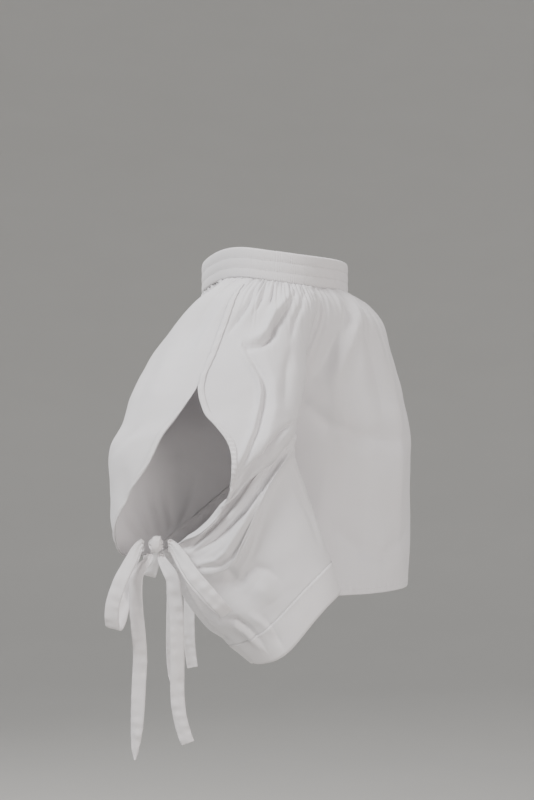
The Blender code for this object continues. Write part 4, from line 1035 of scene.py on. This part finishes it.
def ribbon_grid(bends, twist_seed):
    """Middle surface of one stretch of the tie: a soft flat band with a slight cup and wrinkles."""
    table = np.array([tuple(b) for b in bends])
    samples = np.linspace(0, len(bends) - 1, (len(bends) - 1) * 14 + 1)
    fine = rows_between(table, samples)
    points = np.array(KNOT_PLACE) + np.stack([-fine[:, 0], fine[:, 1], -fine[:, 2]], -1)
    lowest = max(bends, key=lambda b: b.down)
    heading = Vector((0, lowest.back - bends[0].back, -lowest.down))
    steady = np.array(heading.cross(Vector((-1, 0, 0))))
    runs = unit(np.gradient(points, axis=0))
    side = unit(steady - runs * (runs @ steady)[:, None])
    face = np.cross(side, runs)
    tilt = np.radians(fine[:, 4])[:, None]
    face, side = (face * np.cos(tilt) + side * np.sin(tilt), side * np.cos(tilt) - face * np.sin(tilt))
    lengths = np.concatenate([[0], np.cumsum(np.linalg.norm(np.diff(points, axis=0), axis=1))])
    places = np.linspace(-0.5, 0.5, 11)
    ripple = 0.0007 * np.sin(lengths / 0.017 * 2 * np.pi + twist_seed + 1.5 * np.sin(lengths * 60))
    ripple += 0.0006 * np.abs(np.sin(lengths / 0.0056 + twist_seed)) ** 3
    grid = []
    for i in range(len(points)):
        near_knot = math.exp(-lengths[i] / 0.018)
        cup = -0.0010 * (2 * np.abs(places)) ** 2 + 0.0010 * near_knot * np.cos(places * 4 * np.pi)
        edge = 0.0003 * np.sin(lengths[i] / 0.011 + 9 * places)
        height = cup + ripple[i] * (0.6 + 0.4 * np.cos(places * 5 + i * 0.2)) + edge
        grid.append(points[i] + side[i] * (places * fine[i, 3])[:, None] + face[i] * height[:, None])
    grid = np.array(grid)
    return grid, np.repeat(face[:, None, :], len(places), axis=1)


def ribbon(name, bends, twist_seed, left_bends):
    """A stretch of the right tie and the same one of the left tie."""
    items = []
    for side, own_bends in (("right", bends), ("left", left_bends)):
        grid, normals = ribbon_grid(own_bends, twist_seed)
        if side == "left":
            grid, normals = mirror(grid), mirror(normals)
        stitches = [stitch_row(grid[4:-2, 1], normals[4:-2, 1], TIE_CLOTH / 2 + 0.0001)]
        item = shell(name + "_" + side, grid, normals, TIE_CLOTH, [TIE_POPLIN, THREAD], False, stitches)
        items.append(item)
    return items


def knots():
    """Knot of each tie: a tight lump of cloth wrapped by one band."""
    rows, columns = 40, 56
    grid = []
    for i in range(rows):
        pole = math.pi * (0.02 + 0.96 * i / (rows - 1))
        around = np.linspace(0, 2 * math.pi, columns, endpoint=False)
        x = power(np.sin(pole) * np.cos(around), 0.8)
        y = np.full_like(around, float(power(np.array(math.cos(pole)), 0.8)))
        z = power(np.sin(pole) * np.sin(around), 0.8)
        wrapped = 0.5 - 0.5 * np.tanh((np.abs(y + 0.10 * np.sin(around)) - 0.40) * 14)
        wrap = wrapped * (0.20 + 0.035 * np.cos(y * 17 + 0.8 * np.sin(around)))
        pinch = (1 - wrapped) * (0.07 * np.cos(6 * around + 2.0 * y) - 0.22 * np.abs(y))
        radius = 0.80 + wrap + pinch
        size = np.array(KNOT_SIZE) / 2
        grid.append(np.stack([x * size[0], y * size[1], z * size[2]], -1) * radius[:, None])
    grid = np.array(grid)
    grid = grid + np.array(KNOT_PLACE)
    index = np.arange(rows * columns).reshape(rows, columns)
    index = np.concatenate([index, index[:, :1]], axis=1)
    faces = np.stack([index[:-1, :-1].ravel(), index[1:, :-1].ravel(),
                      index[1:, 1:].ravel(), index[:-1, 1:].ravel()], 1).tolist()
    faces += [tuple(range(columns)), tuple(range((rows - 1) * columns, rows * columns))[::-1]]
    uv = (grid.reshape(-1, 3)[:, 1:]).tolist()
    return [build("tie_knot_" + side, (mirror(grid) if side == "left" else grid).reshape(-1, 3), faces,
                  uv, [TIE_POPLIN]) for side in ("right", "left")]


# Stage, light and camera

def stage():
    """Pale floor that rises into a soft round backdrop, out of every view's way."""
    columns = 96
    profile = [(0.0, -1.35), (3.5, -1.35), (5.0, -1.33), (6.0, -1.20), (6.8, -0.75), (7.2, 0.0),
               (7.4, 1.2), (7.5, 3.5)]
    verts = [(0.0, 0.0, profile[0][1])]
    for radius, height in profile[1:]:
        verts += [(radius * math.cos(2 * math.pi * j / columns),
                   radius * math.sin(2 * math.pi * j / columns), height) for j in range(columns)]
    faces = [(0, 1 + j, 1 + (j + 1) % columns) for j in range(columns)]
    for i in range(len(profile) - 2):
        for j in range(columns):
            a, b = 1 + i * columns + j, 1 + i * columns + (j + 1) % columns
            faces.append((a, a + columns, b + columns, b))
    mesh = bpy.data.meshes.new("backdrop")
    mesh.from_pydata(verts, [], faces)
    mesh.shade_smooth()
    mesh.materials.append(plain_material("pale_backdrop", (0.60, 0.59, 0.565), 0.95))
    floor = bpy.data.objects.new("backdrop", mesh)
    bpy.context.scene.collection.objects.link(floor)


def area_light(name, place, target, size, energy, colour):
    """Round soft light that points at a target."""
    data = bpy.data.lights.new(name, "AREA")
    data.shape = "DISK"
    data.size = size
    data.energy = energy
    data.color = colour
    lamp = bpy.data.objects.new(name, data)
    lamp.location = place
    lamp.rotation_euler = (Vector(target) - Vector(place)).to_track_quat("-Z", "Y").to_euler()
    bpy.context.scene.collection.objects.link(lamp)


def lights_and_camera():
    """Soft studio light and the level camera at the wearer's right."""
    area_light("key", (-1.7, 1.7, 1.9), (-0.15, 0, -0.25), 1.1, 92, (0.98, 0.985, 1.0))
    area_light("fill", (-2.4, -2.0, 0.5), (-0.1, 0, -0.25), 1.8, 52, (1.0, 0.93, 0.90))
    area_light("top", (0.4, 0.3, 2.4), (0, 0, -0.25), 2.2, 32, (1.0, 0.99, 0.98))
    area_light("back", (2.6, 1.2, 1.2), (0, 0, -0.25), 2.0, 30, (1.0, 0.98, 0.96))
    world = bpy.data.worlds.new("studio")
    world.use_nodes = True
    world.node_tree.nodes["Background"].inputs["Color"].default_value = (0.92, 0.93, 0.95, 1)
    world.node_tree.nodes["Background"].inputs["Strength"].default_value = 0.55
    bpy.context.scene.world = world
    data = bpy.data.cameras.new("camera")
    data.lens = CAMERA_LENS
    data.sensor_width = 36
    data.sensor_fit = "VERTICAL"
    data.sensor_height = 36
    camera = bpy.data.objects.new("camera", data)
    camera.location = CAMERA_PLACE
    camera.rotation_euler = (math.pi / 2, 0, -math.pi / 2)
    bpy.context.scene.collection.objects.link(camera)
    bpy.context.scene.camera = camera


def dress(item, nodes):
    """Hangs a piece on the root and hides the solids it stands in for."""
    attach(item, "root")
    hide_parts(*nodes)


lights_and_camera()
stage()
dress(neckband(), ["neckband"])
dress(body_panel("front_panel", 0, FRONT_RAGLAN_TURN, 34, 1), ["front"])
dress(body_panel("back_panel", 180, BACK_RAGLAN_TURN, 26, 2), ["back"])
for node, items in sleeves().items():
    for item, side in zip(items, ("right", "left")):
        dress(item, [node + "_" + side])
TIES = {
    "tail_back": (TAIL_BACK, (0.0155, 0.27)),
    "tail_front": (TAIL_FRONT, (0.0165, 0.26)),
    "loop_back": (LOOP_BACK, (0.0155, 0.24)),
    "loop_front": (LOOP_FRONT, (0.0155, 0.24)),
}
for node, (bends, flat) in TIES.items():
    left_bends = closer(bends) if node.startswith("tail") else bends
    for item, side in zip(ribbon("tie_" + node, bends, 2.0 * len(node), left_bends), ("right", "left")):
        dress(item, [node + "_" + side])
for item, side in zip(knots(), ("right", "left")):
    dress(item, ["knot_" + side])
